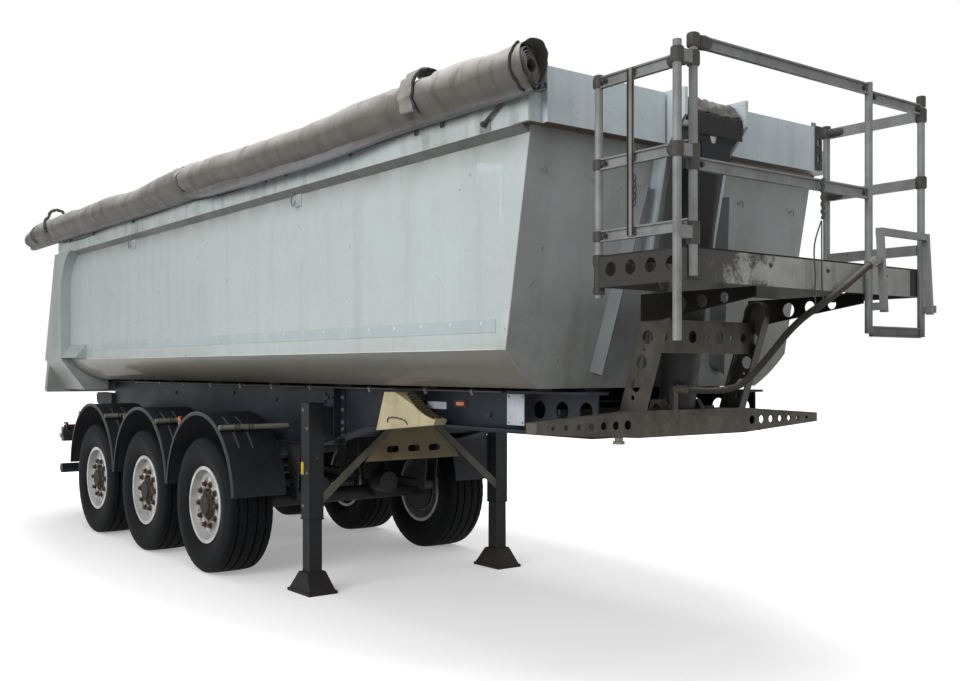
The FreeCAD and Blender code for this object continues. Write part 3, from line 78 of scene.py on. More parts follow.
# Shapes
class Piece:
    """Points and faces of one piece before it becomes an object."""

    def __init__(self):
        self.points = []
        self.faces = []

    def add(self, points, faces):
        first = len(self.points)
        self.points += [Vector(point) for point in points]
        self.faces += [[first + corner for corner in face] for face in faces]
        return self

    def block(self, x, y, z):
        """A box between the low and high value on each axis."""
        corners = [(px, py, pz) for pz in z for py in y for px in x]
        sides = [(0, 2, 3, 1), (4, 5, 7, 6), (0, 1, 5, 4), (2, 6, 7, 3), (0, 4, 6, 2), (1, 3, 7, 5)]
        return self.add(corners, sides)

    def prism(self, outline, run):
        """A flat outline of 3D points, pushed along a vector."""
        count = len(outline)
        far = [Vector(point) + Vector(run) for point in outline]
        sides = [(i, (i + 1) % count, (i + 1) % count + count, i + count) for i in range(count)]
        ends = [tuple(reversed(range(count))), tuple(range(count, 2 * count))]
        return self.add(list(outline) + far, sides + ends)

    def plate_xz(self, outline, y):
        return self.prism([(px, y[0], pz) for px, pz in outline], (0, y[1] - y[0], 0))

    def plate_yz(self, outline, x):
        return self.prism([(x[0], py, pz) for py, pz in outline], (x[1] - x[0], 0, 0))

    def pierced(self, across, up, holes, corner, run, way, thickness):
        """A plate of grid cells; holes are the (column, row) cells left open."""
        run, way = Vector(run), Vector(way)
        deep = run.cross(way).normalized() * thickness
        columns, rows = len(across) - 1, len(up) - 1

        def at(i, j, far):
            return Vector(corner) + run * across[i] + way * up[j] + deep * far

        for i in range(columns):
            for j in range(rows):
                if (i, j) in holes:
                    continue
                right, above = i + 1, j + 1
                sides = [(i, j, right, j), (right, j, right, above), (right, above, i, above),
                         (i, above, i, j)]
                beyond = [(i, j - 1), (right, j), (i, above), (i - 1, j)]
                for far in (0, 1):
                    self.add([at(a, b, far) for a, b, _, _ in sides], [(0, 1, 2, 3)])
                for (a, b, c, d), (p, q) in zip(sides, beyond):
                    inside = 0 <= p < columns and 0 <= q < rows and (p, q) not in holes
                    if not inside:
                        self.add([at(a, b, 0), at(c, d, 0), at(c, d, 1), at(a, b, 1)], [(0, 1, 2, 3)])
        return self

    def lathe(self, profile, centre, axis, steps):
        """A ring with a closed section, whose points are (along the axis, radius)."""
        points = []
        for step in range(steps):
            angle = 2 * math.pi * step / steps
            cos, sin = math.cos(angle), math.sin(angle)
            for along, radius in profile:
                offset = {
                    "X": (along, radius * cos, radius * sin),
                    "Y": (radius * cos, along, radius * sin),
                    "Z": (radius * cos, radius * sin, along),
                }[axis]
                points.append(Vector(centre) + Vector(offset))
        count = len(profile)
        faces = []
        for step in range(steps):
            here, there = step * count, (step + 1) % steps * count
            for i in range(count):
                j = (i + 1) % count
                faces.append((here + i, here + j, there + j, there + i))
        return self.add(points, faces)

    def tube(self, path, radius, steps=12):
        """A round bar along a path of points; radius may be one value for each point."""
        path = [Vector(point) for point in path]
        radii = radius if hasattr(radius, "__len__") else [radius] * len(path)
        side = None
        points = []
        for i, point in enumerate(path):
            run = (path[min(i + 1, len(path) - 1)] - path[max(i - 1, 0)]).normalized()
            if side is None:
                side = run.cross(Vector((0, 0, 1)) if abs(run.z) < 0.9 else Vector((1, 0, 0))).normalized()
            side = (side - run * side.dot(run)).normalized()
            other = run.cross(side)
            for step in range(steps):
                angle = 2 * math.pi * step / steps
                points.append(point + (side * math.cos(angle) + other * math.sin(angle)) * radii[i])
        faces = []
        for i in range(len(path) - 1):
            here, there = i * steps, (i + 1) * steps
            for step in range(steps):
                after = (step + 1) % steps
                faces.append((here + step, here + after, there + after, there + step))
        end = (len(path) - 1) * steps
        faces += [tuple(reversed(range(steps))), tuple(range(end, end + steps))]
        return self.add(points, faces)

    def rod(self, start, end, radius, steps=16):
        return self.tube([start, end], radius, steps)

    def finish(self, name, material, body, slot=None, bevel=0, replaces=(), sharp=SHARP_ANGLE, subdivide=0):
        """Make the object, give it its finish and let it ride on its body."""
        mesh = bpy.data.meshes.new(name)
        mesh.from_pydata([point + ORIGIN for point in self.points], [], self.faces)
        work = bmesh.new()
        work.from_mesh(mesh)
        bmesh.ops.remove_doubles(work, verts=work.verts, dist=1e-5)
        bmesh.ops.recalc_face_normals(work, faces=work.faces)
        work.to_mesh(mesh)
        work.free()
        obj = bpy.data.objects.new(name, mesh)
        bpy.context.scene.collection.objects.link(obj)
        mesh.shade_smooth()
        mesh.set_sharp_from_angle(angle=math.radians(sharp))
        mesh.materials.append(material)
        if bevel:
            edge = obj.modifiers.new("Bevel", "BEVEL")
            edge.width = bevel
            edge.segments = 2
            edge.limit_method = "ANGLE"
            edge.angle_limit = math.radians(sharp)
            edge.harden_normals = True
        if subdivide:
            fine = obj.modifiers.new("Subdivision", "SUBSURF")
            fine.levels = subdivide
            fine.render_levels = subdivide
        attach(obj, body)
        if replaces:
            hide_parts(*replaces)
        return obj


def grid_faces(rows, columns):
    """Faces between points that are listed row by row, with one point more than columns in a row."""
    width = columns + 1
    corners = [row * width + column for row in range(rows) for column in range(columns)]
    return [(a, a + 1, a + width + 1, a + width) for a in corners]


def thicken(obj, thickness, offset=0):
    """Give a single skin its thickness, on both sides or on one."""
    skin = obj.modifiers.new("Solidify", "SOLIDIFY")
    skin.thickness = thickness
    skin.offset = offset


# Geometry nodes
WASHER_SPREAD = 1.45
WASHER_HEIGHT = 0.3
WASHER_SIDES = 14
LINK_PITCH = 0.72
LINK_RADIUS = 0.3
TREES = {}


def new_tree(name, sockets):
    """An empty geometry tree with a geometry input and output and the named inputs."""
    tree = bpy.data.node_groups.new(name, "GeometryNodeTree")
    tree.interface.new_socket(name="Geometry", in_out="INPUT", socket_type="NodeSocketGeometry")
    for label, kind, default in sockets:
        made = tree.interface.new_socket(name=label, in_out="INPUT", socket_type=kind)
        if default is not None:
            made.default_value = default
    tree.interface.new_socket(name="Geometry", in_out="OUTPUT", socket_type="NodeSocketGeometry")
    return tree, tree.nodes.new("NodeGroupInput"), tree.nodes.new("NodeGroupOutput")


def put(tree, kind, inputs=None, **settings):
    """Add a node, with its settings and with a value or a link for each named or numbered input."""
    made = tree.nodes.new(kind)
    for key, value in settings.items():
        setattr(made, key, value)
    for key, value in (inputs or {}).items():
        socket = made.inputs[key]
        if isinstance(value, bpy.types.NodeSocket):
            tree.links.new(value, socket)
        else:
            socket.default_value = value
    return made


def calc(tree, operation, *values, clamp=False):
    """One step of arithmetic."""
    made = put(tree, "ShaderNodeMath", dict(enumerate(values)), operation=operation, use_clamp=clamp)
    return made.outputs[0]


def end_tree(tree, copies, material, end):
    """Make the copies real, give them their finish and put them out."""
    real = put(tree, "GeometryNodeRealizeInstances", {"Geometry": copies.outputs[0]})
    dressed = put(tree, "GeometryNodeSetMaterial", {"Geometry": real.outputs[0], "Material": material})
    tree.links.new(dressed.outputs[0], end.inputs["Geometry"])
    return tree


def bolt_tree():
    """Hexagon heads on washers, one on each point, turned along the point's facing."""
    tree, start, end = new_tree("Bolt heads", [
        ("Head Radius", "NodeSocketFloat", 0.012),
        ("Head Height", "NodeSocketFloat", 0.01),
        ("Sides", "NodeSocketInt", 6),
        ("Finish", "NodeSocketMaterial", None),
    ])
    radius, height = start.outputs["Head Radius"], start.outputs["Head Height"]
    head = put(tree, "GeometryNodeMeshCylinder", {
        "Vertices": start.outputs["Sides"], "Radius": radius, "Depth": height,
    })
    washer = put(tree, "GeometryNodeMeshCylinder", {
        "Vertices": WASHER_SIDES,
        "Radius": calc(tree, "MULTIPLY", radius, WASHER_SPREAD),
        "Depth": calc(tree, "MULTIPLY", height, WASHER_HEIGHT),
    })
    lift = put(tree, "ShaderNodeCombineXYZ", {"Z": calc(tree, "MULTIPLY", height, 0.5)})
    raised = put(tree, "GeometryNodeTransform", {
        "Geometry": head.outputs["Mesh"], "Translation": lift.outputs[0],
    })
    joined = put(tree, "GeometryNodeJoinGeometry")
    tree.links.new(raised.outputs[0], joined.inputs[0])
    tree.links.new(washer.outputs["Mesh"], joined.inputs[0])
    facing = put(tree, "GeometryNodeInputNamedAttribute", {"Name": "facing"}, data_type="FLOAT_VECTOR")
    turn = put(tree, "FunctionNodeAlignRotationToVector", {"Vector": facing.outputs["Attribute"]}, axis="Z")
    spots = put(tree, "GeometryNodeMeshToPoints", {"Mesh": start.outputs["Geometry"]})
    copies = put(tree, "GeometryNodeInstanceOnPoints", {
        "Points": spots.outputs[0], "Instance": joined.outputs[0], "Rotation": turn.outputs[0],
    })
    return end_tree(tree, copies, start.outputs["Finish"], end)


def chain_tree():
    """Oval links along a curve, every second one turned a quarter."""
    tree, start, end = new_tree("Chain links", [
        ("Link Length", "NodeSocketFloat", 0.03),
        ("Wire Radius", "NodeSocketFloat", 0.003),
        ("Finish", "NodeSocketMaterial", None),
    ])
    length = start.outputs["Link Length"]
    line = put(tree, "GeometryNodeMeshToCurve", {"Mesh": start.outputs["Geometry"]})
    spots = put(tree, "GeometryNodeCurveToPoints", {
        "Curve": line.outputs[0], "Length": calc(tree, "MULTIPLY", length, LINK_PITCH),
    }, mode="LENGTH")
    ring = put(tree, "GeometryNodeCurvePrimitiveCircle", {
        "Resolution": 12, "Radius": calc(tree, "MULTIPLY", length, LINK_RADIUS),
    })
    oval = put(tree, "GeometryNodeTransform", {"Geometry": ring.outputs["Curve"], "Scale": (0.8, 1.6, 1)})
    wire = put(tree, "GeometryNodeCurvePrimitiveCircle", {
        "Resolution": 6, "Radius": start.outputs["Wire Radius"],
    })
    link = put(tree, "GeometryNodeCurveToMesh", {
        "Curve": oval.outputs[0], "Profile Curve": wire.outputs["Curve"],
    })
    odd = calc(tree, "MODULO", put(tree, "GeometryNodeInputIndex").outputs[0], 2.0)
    quarter = calc(tree, "MULTIPLY", odd, math.pi / 2)
    spin = put(tree, "ShaderNodeCombineXYZ", {"X": math.pi / 2, "Z": quarter})
    copies = put(tree, "GeometryNodeInstanceOnPoints", {
        "Points": spots.outputs[0], "Instance": link.outputs[0], "Rotation": spin.outputs[0],
    })
    return end_tree(tree, copies, start.outputs["Finish"], end)


def grown(carrier, tree, values):
    """The plain mesh that a tree makes of a carrier object, which is then removed."""
    modifier = carrier.modifiers.new("Repeat", "NODES")
    modifier.node_group = tree
    for item in tree.interface.items_tree:
        if item.in_out == "INPUT" and item.name in values:
            modifier[item.identifier] = values[item.name]
    bpy.context.view_layer.update()
    graph = bpy.context.evaluated_depsgraph_get()
    mesh = bpy.data.meshes.new_from_object(carrier.evaluated_get(graph), depsgraph=graph)
    bpy.data.objects.remove(carrier)
    return mesh


def place_mesh(name, mesh, body):
    """Make a grown mesh an object that rides on its body."""
    mesh.name = name
    obj = bpy.data.objects.new(name, mesh)
    bpy.context.scene.collection.objects.link(obj)
    mesh.shade_smooth()
    mesh.set_sharp_from_angle(angle=math.radians(SHARP_ANGLE))
    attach(obj, body)


def bolts(name, spots, body, material, radius, height, sides=6):
    """Bolt heads at (place, facing) pairs, as one piece."""
    mesh = bpy.data.meshes.new(name)
    mesh.from_pydata([Vector(place) + ORIGIN for place, _ in spots], [], [])
    facing = mesh.attributes.new("facing", "FLOAT_VECTOR", "POINT")
    facing.data.foreach_set("vector", [value for _, way in spots for value in way])
    carrier = bpy.data.objects.new(name, mesh)
    bpy.context.scene.collection.objects.link(carrier)
    made = grown(carrier, TREES["bolts"], {
        "Head Radius": radius, "Head Height": height, "Sides": sides, "Finish": material,
    })
    place_mesh(name, made, body)


def chain(name, path, body, material, link_length, wire_radius):
    """Links along a line of points."""
    mesh = bpy.data.meshes.new(name)
    pairs = [(i, i + 1) for i in range(len(path) - 1)]
    mesh.from_pydata([Vector(point) + ORIGIN for point in path], pairs, [])
    carrier = bpy.data.objects.new(name, mesh)
    bpy.context.scene.collection.objects.link(carrier)
    made = grown(carrier, TREES["chain"], {
        "Link Length": link_length, "Wire Radius": wire_radius, "Finish": material,
    })
    place_mesh(name, made, body)


# Finishes
GROUPS = {}
FINISHES = {}
# Dark brown of the painted shade below a ledge
LEDGE_SHADE = (0.05, 0.04, 0.03)
DIRT_ROUGHNESS = 0.85
RUST = (0.13, 0.055, 0.025)
OLD_RUST = (0.045, 0.022, 0.014, 1)
FRESH_RUST = (0.17, 0.055, 0.02, 1)


def new_group(name, inputs, outputs):
    """An empty shader group with its named inputs and outputs."""
    tree = bpy.data.node_groups.new(name, "ShaderNodeTree")
    kinds = {"color": "NodeSocketColor", "value": "NodeSocketFloat", "vector": "NodeSocketVector"}
    for label, kind, default in inputs:
        made = tree.interface.new_socket(name=label, in_out="INPUT", socket_type=kinds[kind])
        made.default_value = default
    for label, kind in outputs:
        tree.interface.new_socket(name=label, in_out="OUTPUT", socket_type=kinds[kind])
    return tree, tree.nodes.new("NodeGroupInput"), tree.nodes.new("NodeGroupOutput")


def blend_colours(tree, share, under, over):
    """The under colour with a share of the over colour."""
    made = put(tree, "ShaderNodeMix", {0: share, 6: under, 7: over}, data_type="RGBA")
    return made.outputs[2]


def level(tree, value, low, high, to_low=0.0, to_high=1.0):
    """The value's place between low and high, from to_low to to_high."""
    made = put(tree, "ShaderNodeMapRange", {
        "Value": value, "From Min": low, "From Max": high, "To Min": to_low, "To Max": to_high,
    })
    return made.outputs[0]


def place_along(tree, axis):
    """The object's own x, y or z at each spot."""
    place = tree.nodes.new("ShaderNodeTexCoord").outputs["Object"]
    return put(tree, "ShaderNodeSeparateXYZ", {0: place}).outputs[axis]


def new_material(name):
    """An empty material with its tree."""
    material = bpy.data.materials.new(name)
    material.use_nodes = True
    material.node_tree.nodes.clear()
    return material, material.node_tree


def put_out(tree, shader, kind="ShaderNodeOutputMaterial"):
    """Make the shader the tree's surface."""
    tree.links.new(shader.outputs[0], tree.nodes.new(kind).inputs["Surface"])


def pattern(tree, scale, stretch=(1, 1, 1), detail=5.0, roughness=0.6, distortion=0.0):
    """Noise in the object's own place, stretched along the axes."""
    place = tree.nodes.new("ShaderNodeTexCoord").outputs["Object"]
    mapping = put(tree, "ShaderNodeMapping", {"Vector": place, "Scale": stretch})
    made = put(tree, "ShaderNodeTexNoise", {
        "Vector": mapping.outputs[0], "Scale": scale, "Detail": detail, "Roughness": roughness,
        "Distortion": distortion,
    })
    return made.outputs["Fac"]


def grime_group():
    """Dust and dirt in patches, in streaks that run down, and thicker towards the foot, where on the bed's
    tub and front wall it is partly painted shade.
    """
    tree, start, end = new_group("Grime and shade", [
        ("Color", "color", (0.5, 0.5, 0.5, 1)), ("Grime And Shade Color", "color", (0.1, 0.09, 0.08, 1)),
        ("Patches", "value", 0.3), ("Streaks", "value", 0.2), ("Foot", "value", 0.5),
        ("Foot Height", "value", 0.0), ("Foot Reach", "value", 0.5), ("Scale", "value", 2.0),
    ], [("Color", "color"), ("Mask", "value")])
    coarse = pattern(tree, start.outputs["Scale"], detail=8.0, roughness=0.68)
    fine = pattern(tree, 26.0, detail=6.0, roughness=0.7)
    runs = pattern(tree, 9.0, (1, 1, 0.07), detail=5.0, roughness=0.6)
    patches = calc(tree, "MULTIPLY", level(tree, coarse, 0.42, 0.72), start.outputs["Patches"])
    patches = calc(tree, "MULTIPLY", patches, level(tree, fine, 0.2, 0.62, 0.45, 1.0))
    streaks = calc(tree, "MULTIPLY", level(tree, runs, 0.5, 0.75), start.outputs["Streaks"])
    height = place_along(tree, "Z")
    top = calc(tree, "ADD", start.outputs["Foot Height"], start.outputs["Foot Reach"])
    foot = level(tree, height, start.outputs["Foot Height"], top, 1.0, 0.0)
    foot = calc(tree, "MULTIPLY", foot, level(tree, coarse, 0.3, 0.66, 0.25, 1.0))
    foot = calc(tree, "MULTIPLY", foot, start.outputs["Foot"])
    total = calc(tree, "ADD", calc(tree, "ADD", patches, streaks), foot, clamp=True)
    toned = blend_colours(tree, total, start.outputs["Color"], start.outputs["Grime And Shade Color"])
    tree.links.new(total, end.inputs["Mask"])
    tree.links.new(toned, end.inputs["Color"])
    return tree


def scuffs_group():
    """Fine scratches along the object and small chips down to the metal."""
    tree, start, end = new_group("Scuffs", [
        ("Color", "color", (0.5, 0.5, 0.5, 1)), ("Bare Color", "color", (0.12, 0.1, 0.09, 1)),
        ("Scratches", "value", 0.3), ("Chips", "value", 0.3), ("Scale", "value", 1.0),
    ], [("Color", "color"), ("Mask", "value")])
    long_lines = pattern(tree, 7.0, (0.35, 9, 9), detail=3.0, roughness=0.5, distortion=0.4)
    where = pattern(tree, 1.3, detail=2.0)
    lines = calc(tree, "MULTIPLY", level(tree, long_lines, 0.67, 0.71), level(tree, where, 0.45, 0.6))
    lines = calc(tree, "MULTIPLY", lines, start.outputs["Scratches"])
    spots = pattern(tree, calc(tree, "MULTIPLY", start.outputs["Scale"], 17.0), detail=4.0, roughness=0.55)
    chips = calc(tree, "MULTIPLY", level(tree, spots, 0.71, 0.735), start.outputs["Chips"])
    total = calc(tree, "MAXIMUM", lines, chips, clamp=True)
    scuffed = blend_colours(tree, total, start.outputs["Color"], start.outputs["Bare Color"])
    tree.links.new(total, end.inputs["Mask"])
    tree.links.new(scuffed, end.inputs["Color"])
    return tree


def rust_group():
    """Brown bloom in blots with a speckled rim."""
    tree, start, end = new_group("Rust", [
        ("Color", "color", (0.5, 0.5, 0.5, 1)), ("Rust Color", "color", (0.15, 0.06, 0.025, 1)),
        ("Amount", "value", 0.3), ("Scale", "value", 6.0),
    ], [("Color", "color"), ("Mask", "value")])
    blots = pattern(tree, start.outputs["Scale"], detail=9.0, roughness=0.72, distortion=0.3)
    edge = calc(tree, "SUBTRACT", 0.86, calc(tree, "MULTIPLY", start.outputs["Amount"], 0.42))
    mask = level(tree, blots, edge, calc(tree, "ADD", edge, 0.09))
    shade = level(tree, pattern(tree, 40.0, detail=5.0), 0.35, 0.65)
    tone = blend_colours(tree, shade, start.outputs["Rust Color"], OLD_RUST)
    tree.links.new(mask, end.inputs["Mask"])
    tree.links.new(blend_colours(tree, mask, start.outputs["Color"], tone), end.inputs["Color"])
    return tree


def facing_group():
    """A second colour on surfaces that face one way, used as painted shade on faces that turn down, broken by
    dark stains, most of them at the right.
    """
    tree, start, end = new_group("Facing colour", [
        ("Color", "color", (0.5, 0.5, 0.5, 1)), ("Facing Color", "color", (0.5, 0.5, 0.5, 1)),
        ("Way", "vector", (1, 0, 0)), ("Low", "value", 0.4), ("High", "value", 0.8), ("Stains", "value", 0.0),
    ], [("Color", "color")])
    normal = tree.nodes.new("ShaderNodeTexCoord").outputs["Normal"]
    toward = put(tree, "ShaderNodeVectorMath", {0: normal, 1: start.outputs["Way"]}, operation="DOT_PRODUCT")
    mask = level(tree, toward.outputs["Value"], start.outputs["Low"], start.outputs["High"])
    more_at_right = level(tree, place_along(tree, "Y"), -0.9, 0.1, 0.13, -0.03)
    stained = calc(tree, "ADD", pattern(tree, 1.7, detail=10.0, roughness=0.75), more_at_right)
    blots = calc(tree, "MULTIPLY", level(tree, stained, 0.5, 0.56), start.outputs["Stains"])
    mask = calc(tree, "MULTIPLY", mask, calc(tree, "SUBTRACT", 1.0, blots))
    faced = blend_colours(tree, mask, start.outputs["Color"], start.outputs["Facing Color"])
    tree.links.new(faced, end.inputs["Color"])
    return tree


def shadow_band_group():
    """Painted shade below a height, such as under the rails, broken into runs."""
    tree, start, end = new_group("Shade under ledge", [
        ("Color", "color", (0.5, 0.5, 0.5, 1)), ("Ledge Shade Color", "color", (0.1, 0.08, 0.06, 1)),
        ("Ledge Height", "value", 1.6), ("Reach", "value", 0.2), ("Amount", "value", 0.0),
    ], [("Color", "color")])
    low = calc(tree, "SUBTRACT", start.outputs["Ledge Height"], start.outputs["Reach"])
    mask = level(tree, place_along(tree, "Z"), low, start.outputs["Ledge Height"])
    mask = calc(tree, "MULTIPLY", calc(tree, "POWER", mask, 2.0), start.outputs["Amount"])
    runs = pattern(tree, 5.0, (1, 1, 0.15), detail=5.0)
    mask = calc(tree, "MULTIPLY", mask, level(tree, runs, 0.3, 0.65, 0.45, 1.0))
    toned = blend_colours(tree, mask, start.outputs["Color"], start.outputs["Ledge Shade Color"])
    tree.links.new(toned, end.inputs["Color"])
    return tree


def low_soot_group():
    """Painted shade below a height, on the left side only, such as on a step below its deck."""
    tree, start, end = new_group("Low shade", [
        ("Color", "color", (0.5, 0.5, 0.5, 1)), ("Low Shade Color", "color", (0.02, 0.018, 0.016, 1)),
        ("Top", "value", 0.6), ("Reach", "value", 0.2), ("Side", "value", 0.3),
    ], [("Color", "color")])
    low = calc(tree, "SUBTRACT", start.outputs["Top"], start.outputs["Reach"])
    edge = calc(tree, "MULTIPLY", pattern(tree, 9.0, detail=6.0), 0.1)
    ragged = calc(tree, "ADD", place_along(tree, "Z"), edge)
    mask = level(tree, ragged, low, start.outputs["Top"], 0.92, 0.0)
    beyond = calc(tree, "ADD", start.outputs["Side"], 0.05)
    mask = calc(tree, "MULTIPLY", mask, level(tree, place_along(tree, "Y"), start.outputs["Side"], beyond))
    shaded_low = blend_colours(tree, mask, start.outputs["Color"], start.outputs["Low Shade Color"])
    tree.links.new(shaded_low, end.inputs["Color"])
    return tree


def wheel_dirt_group():
    """Grease over the hub and mottled dirt over the disc, by the distance from the nearest axle."""
    tree, start, end = new_group("Wheel dirt", [
        ("Color", "color", (0.5, 0.5, 0.5, 1)), ("Grease Color", "color", (0.03, 0.025, 0.02, 1)),
        ("Disc Color", "color", (0.1, 0.09, 0.08, 1)), ("First Axle", "value", 0.0), ("Pitch", "value", 1.3),
        ("Axle Height", "value", 0.0),
    ], [("Color", "color"), ("Mask", "value")])
    half = calc(tree, "MULTIPLY", start.outputs["Pitch"], 0.5)
    along = calc(tree, "SUBTRACT", place_along(tree, "X"), start.outputs["First Axle"])
    along = calc(tree, "WRAP", along, half, calc(tree, "MULTIPLY", half, -1.0))
    up = calc(tree, "SUBTRACT", place_along(tree, "Z"), start.outputs["Axle Height"])
    squares = calc(tree, "ADD", calc(tree, "MULTIPLY", along, along), calc(tree, "MULTIPLY", up, up))
    edge = calc(tree, "MULTIPLY", pattern(tree, 14.0, detail=6.0), 0.07)
    ragged = calc(tree, "ADD", calc(tree, "SQRT", squares), edge)
    grease = level(tree, ragged, 0.160, 0.182, 1.0, 0.0)
    blots = level(tree, pattern(tree, 16.0, detail=7.0, roughness=0.7), 0.46, 0.56)
    disc = calc(tree, "MULTIPLY", level(tree, ragged, 0.235, 0.27, 0.8, 0.12), blots)
    toned = blend_colours(tree, disc, start.outputs["Color"], start.outputs["Disc Color"])
    spots = level(tree, pattern(tree, 22.0, detail=3.0), 0.6, 0.66)
    grease_colour = blend_colours(tree, spots, start.outputs["Grease Color"], FRESH_RUST)
    tree.links.new(blend_colours(tree, grease, toned, grease_colour), end.inputs["Color"])
    tree.links.new(calc(tree, "MAXIMUM", grease, disc), end.inputs["Mask"])
    return tree


def grain_group():
    """Small unevenness of a surface, for its bump."""
    tree, start, end = new_group("Grain", [
        ("Scale", "value", 60.0), ("Dents", "value", 0.0),
    ], [("Height", "value")])
    small = pattern(tree, start.outputs["Scale"], detail=4.0)
    large = calc(tree, "MULTIPLY", pattern(tree, 1.6, detail=1.0), start.outputs["Dents"])
    tree.links.new(calc(tree, "ADD", small, large), end.inputs["Height"])
    return tree


def finish(name, colour, grime=(0.06, 0.055, 0.045), patches=0.3, streaks=0.0, foot=0.0,
           foot_height=-1.235, foot_reach=0.8, scale=2.0, scratches=0.0, chips=0.0,
           bare=(0.12, 0.1, 0.09), rust=0.0, rust_scale=6.0, rough=0.5, metal=0.0, grain=60.0, dents=0.0,
           bump=0.08, bump_distance=0.002, coat=0.0, facing=None, shine=0.5, ledge=0.0, ledge_height=0.0,
           ledge_reach=0.3, wheel=False, low_shade_top=None):
    """A weathered surface: scuffs, then rust, then dirt over the colour, thicker towards the foot; the ledge
    and low-shade options add painted shade.
    """
    material, tree = new_material(name)

    def group(kind, inputs):
        made = put(tree, "ShaderNodeGroup", node_tree=GROUPS[kind])
        for key, value in inputs.items():
            if isinstance(value, bpy.types.NodeSocket):
                tree.links.new(value, made.inputs[key])
            else:
                socket = made.inputs[key]
                socket.default_value = (*value[:3], 1.0) if socket.type == "RGBA" else value
        return made

    # A second colour by facing; on faces that turn down it is painted shade
    if facing:
        way, second, low, high, stains = facing
        colour = group("facing", {
            "Color": colour, "Facing Color": second, "Way": way, "Low": low, "High": high, "Stains": stains,
        }).outputs["Color"]
    # Painted shade below a ledge, such as under the rails
    if ledge:
        colour = group("shadow_band", {
            "Color": colour, "Ledge Shade Color": LEDGE_SHADE, "Ledge Height": ledge_height, "Reach": ledge_reach,
            "Amount": ledge,
        }).outputs["Color"]
    scuffed = group("scuffs", {"Color": colour, "Bare Color": bare, "Scratches": scratches, "Chips": chips})
    rusted = group("rust", {
        "Color": scuffed.outputs["Color"], "Rust Color": RUST, "Amount": rust, "Scale": rust_scale,
    })
    toned = group("grime", {
        "Color": rusted.outputs["Color"], "Grime And Shade Color": grime, "Patches": patches, "Streaks": streaks,
        "Foot": foot, "Foot Height": foot_height, "Foot Reach": foot_reach, "Scale": scale,
    })
    dull = calc(tree, "MAXIMUM", rusted.outputs["Mask"], toned.outputs["Mask"])
    final = toned.outputs["Color"]
    # Painted shade low on the left side
    if low_shade_top is not None:
        final = group("low_soot", {"Color": final, "Top": low_shade_top}).outputs["Color"]
    if wheel:
        greasy = group("wheel_dirt", {
            "Color": final, "First Axle": ORIGIN.x, "Pitch": AXLE_PITCH,
            "Axle Height": ORIGIN.z + TYRE_RADIUS,
        })
        final = greasy.outputs["Color"]
        dull = calc(tree, "MAXIMUM", dull, greasy.outputs["Mask"])
    roughness = level(tree, dull, 0.0, 1.0, rough, DIRT_ROUGHNESS)
    shader = put(tree, "ShaderNodeBsdfPrincipled", {"Base Color": final, "Roughness": roughness})
    if metal:
        tree.links.new(level(tree, dull, 0.0, 0.8, metal, 0.0), shader.inputs["Metallic"])
    shader.inputs["Coat Weight"].default_value = coat
    shader.inputs["Specular IOR Level"].default_value = shine
    surface = group("grain", {"Scale": grain, "Dents": dents})
    rust_height = calc(tree, "MULTIPLY", rusted.outputs["Mask"], 0.6)
    height = calc(tree, "ADD", surface.outputs["Height"], rust_height)
    relief = put(tree, "ShaderNodeBump", {"Strength": bump, "Distance": bump_distance, "Height": height})
    tree.links.new(relief.outputs[0], shader.inputs["Normal"])
    put_out(tree, shader)
    FINISHES[name] = material


def dress(material, *nodes):
    """Give CAD nodes a finish in place of their plain one."""
    for name in nodes:
        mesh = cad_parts[name].data
        mesh.materials.clear()
        mesh.materials.append(FINISHES[material])


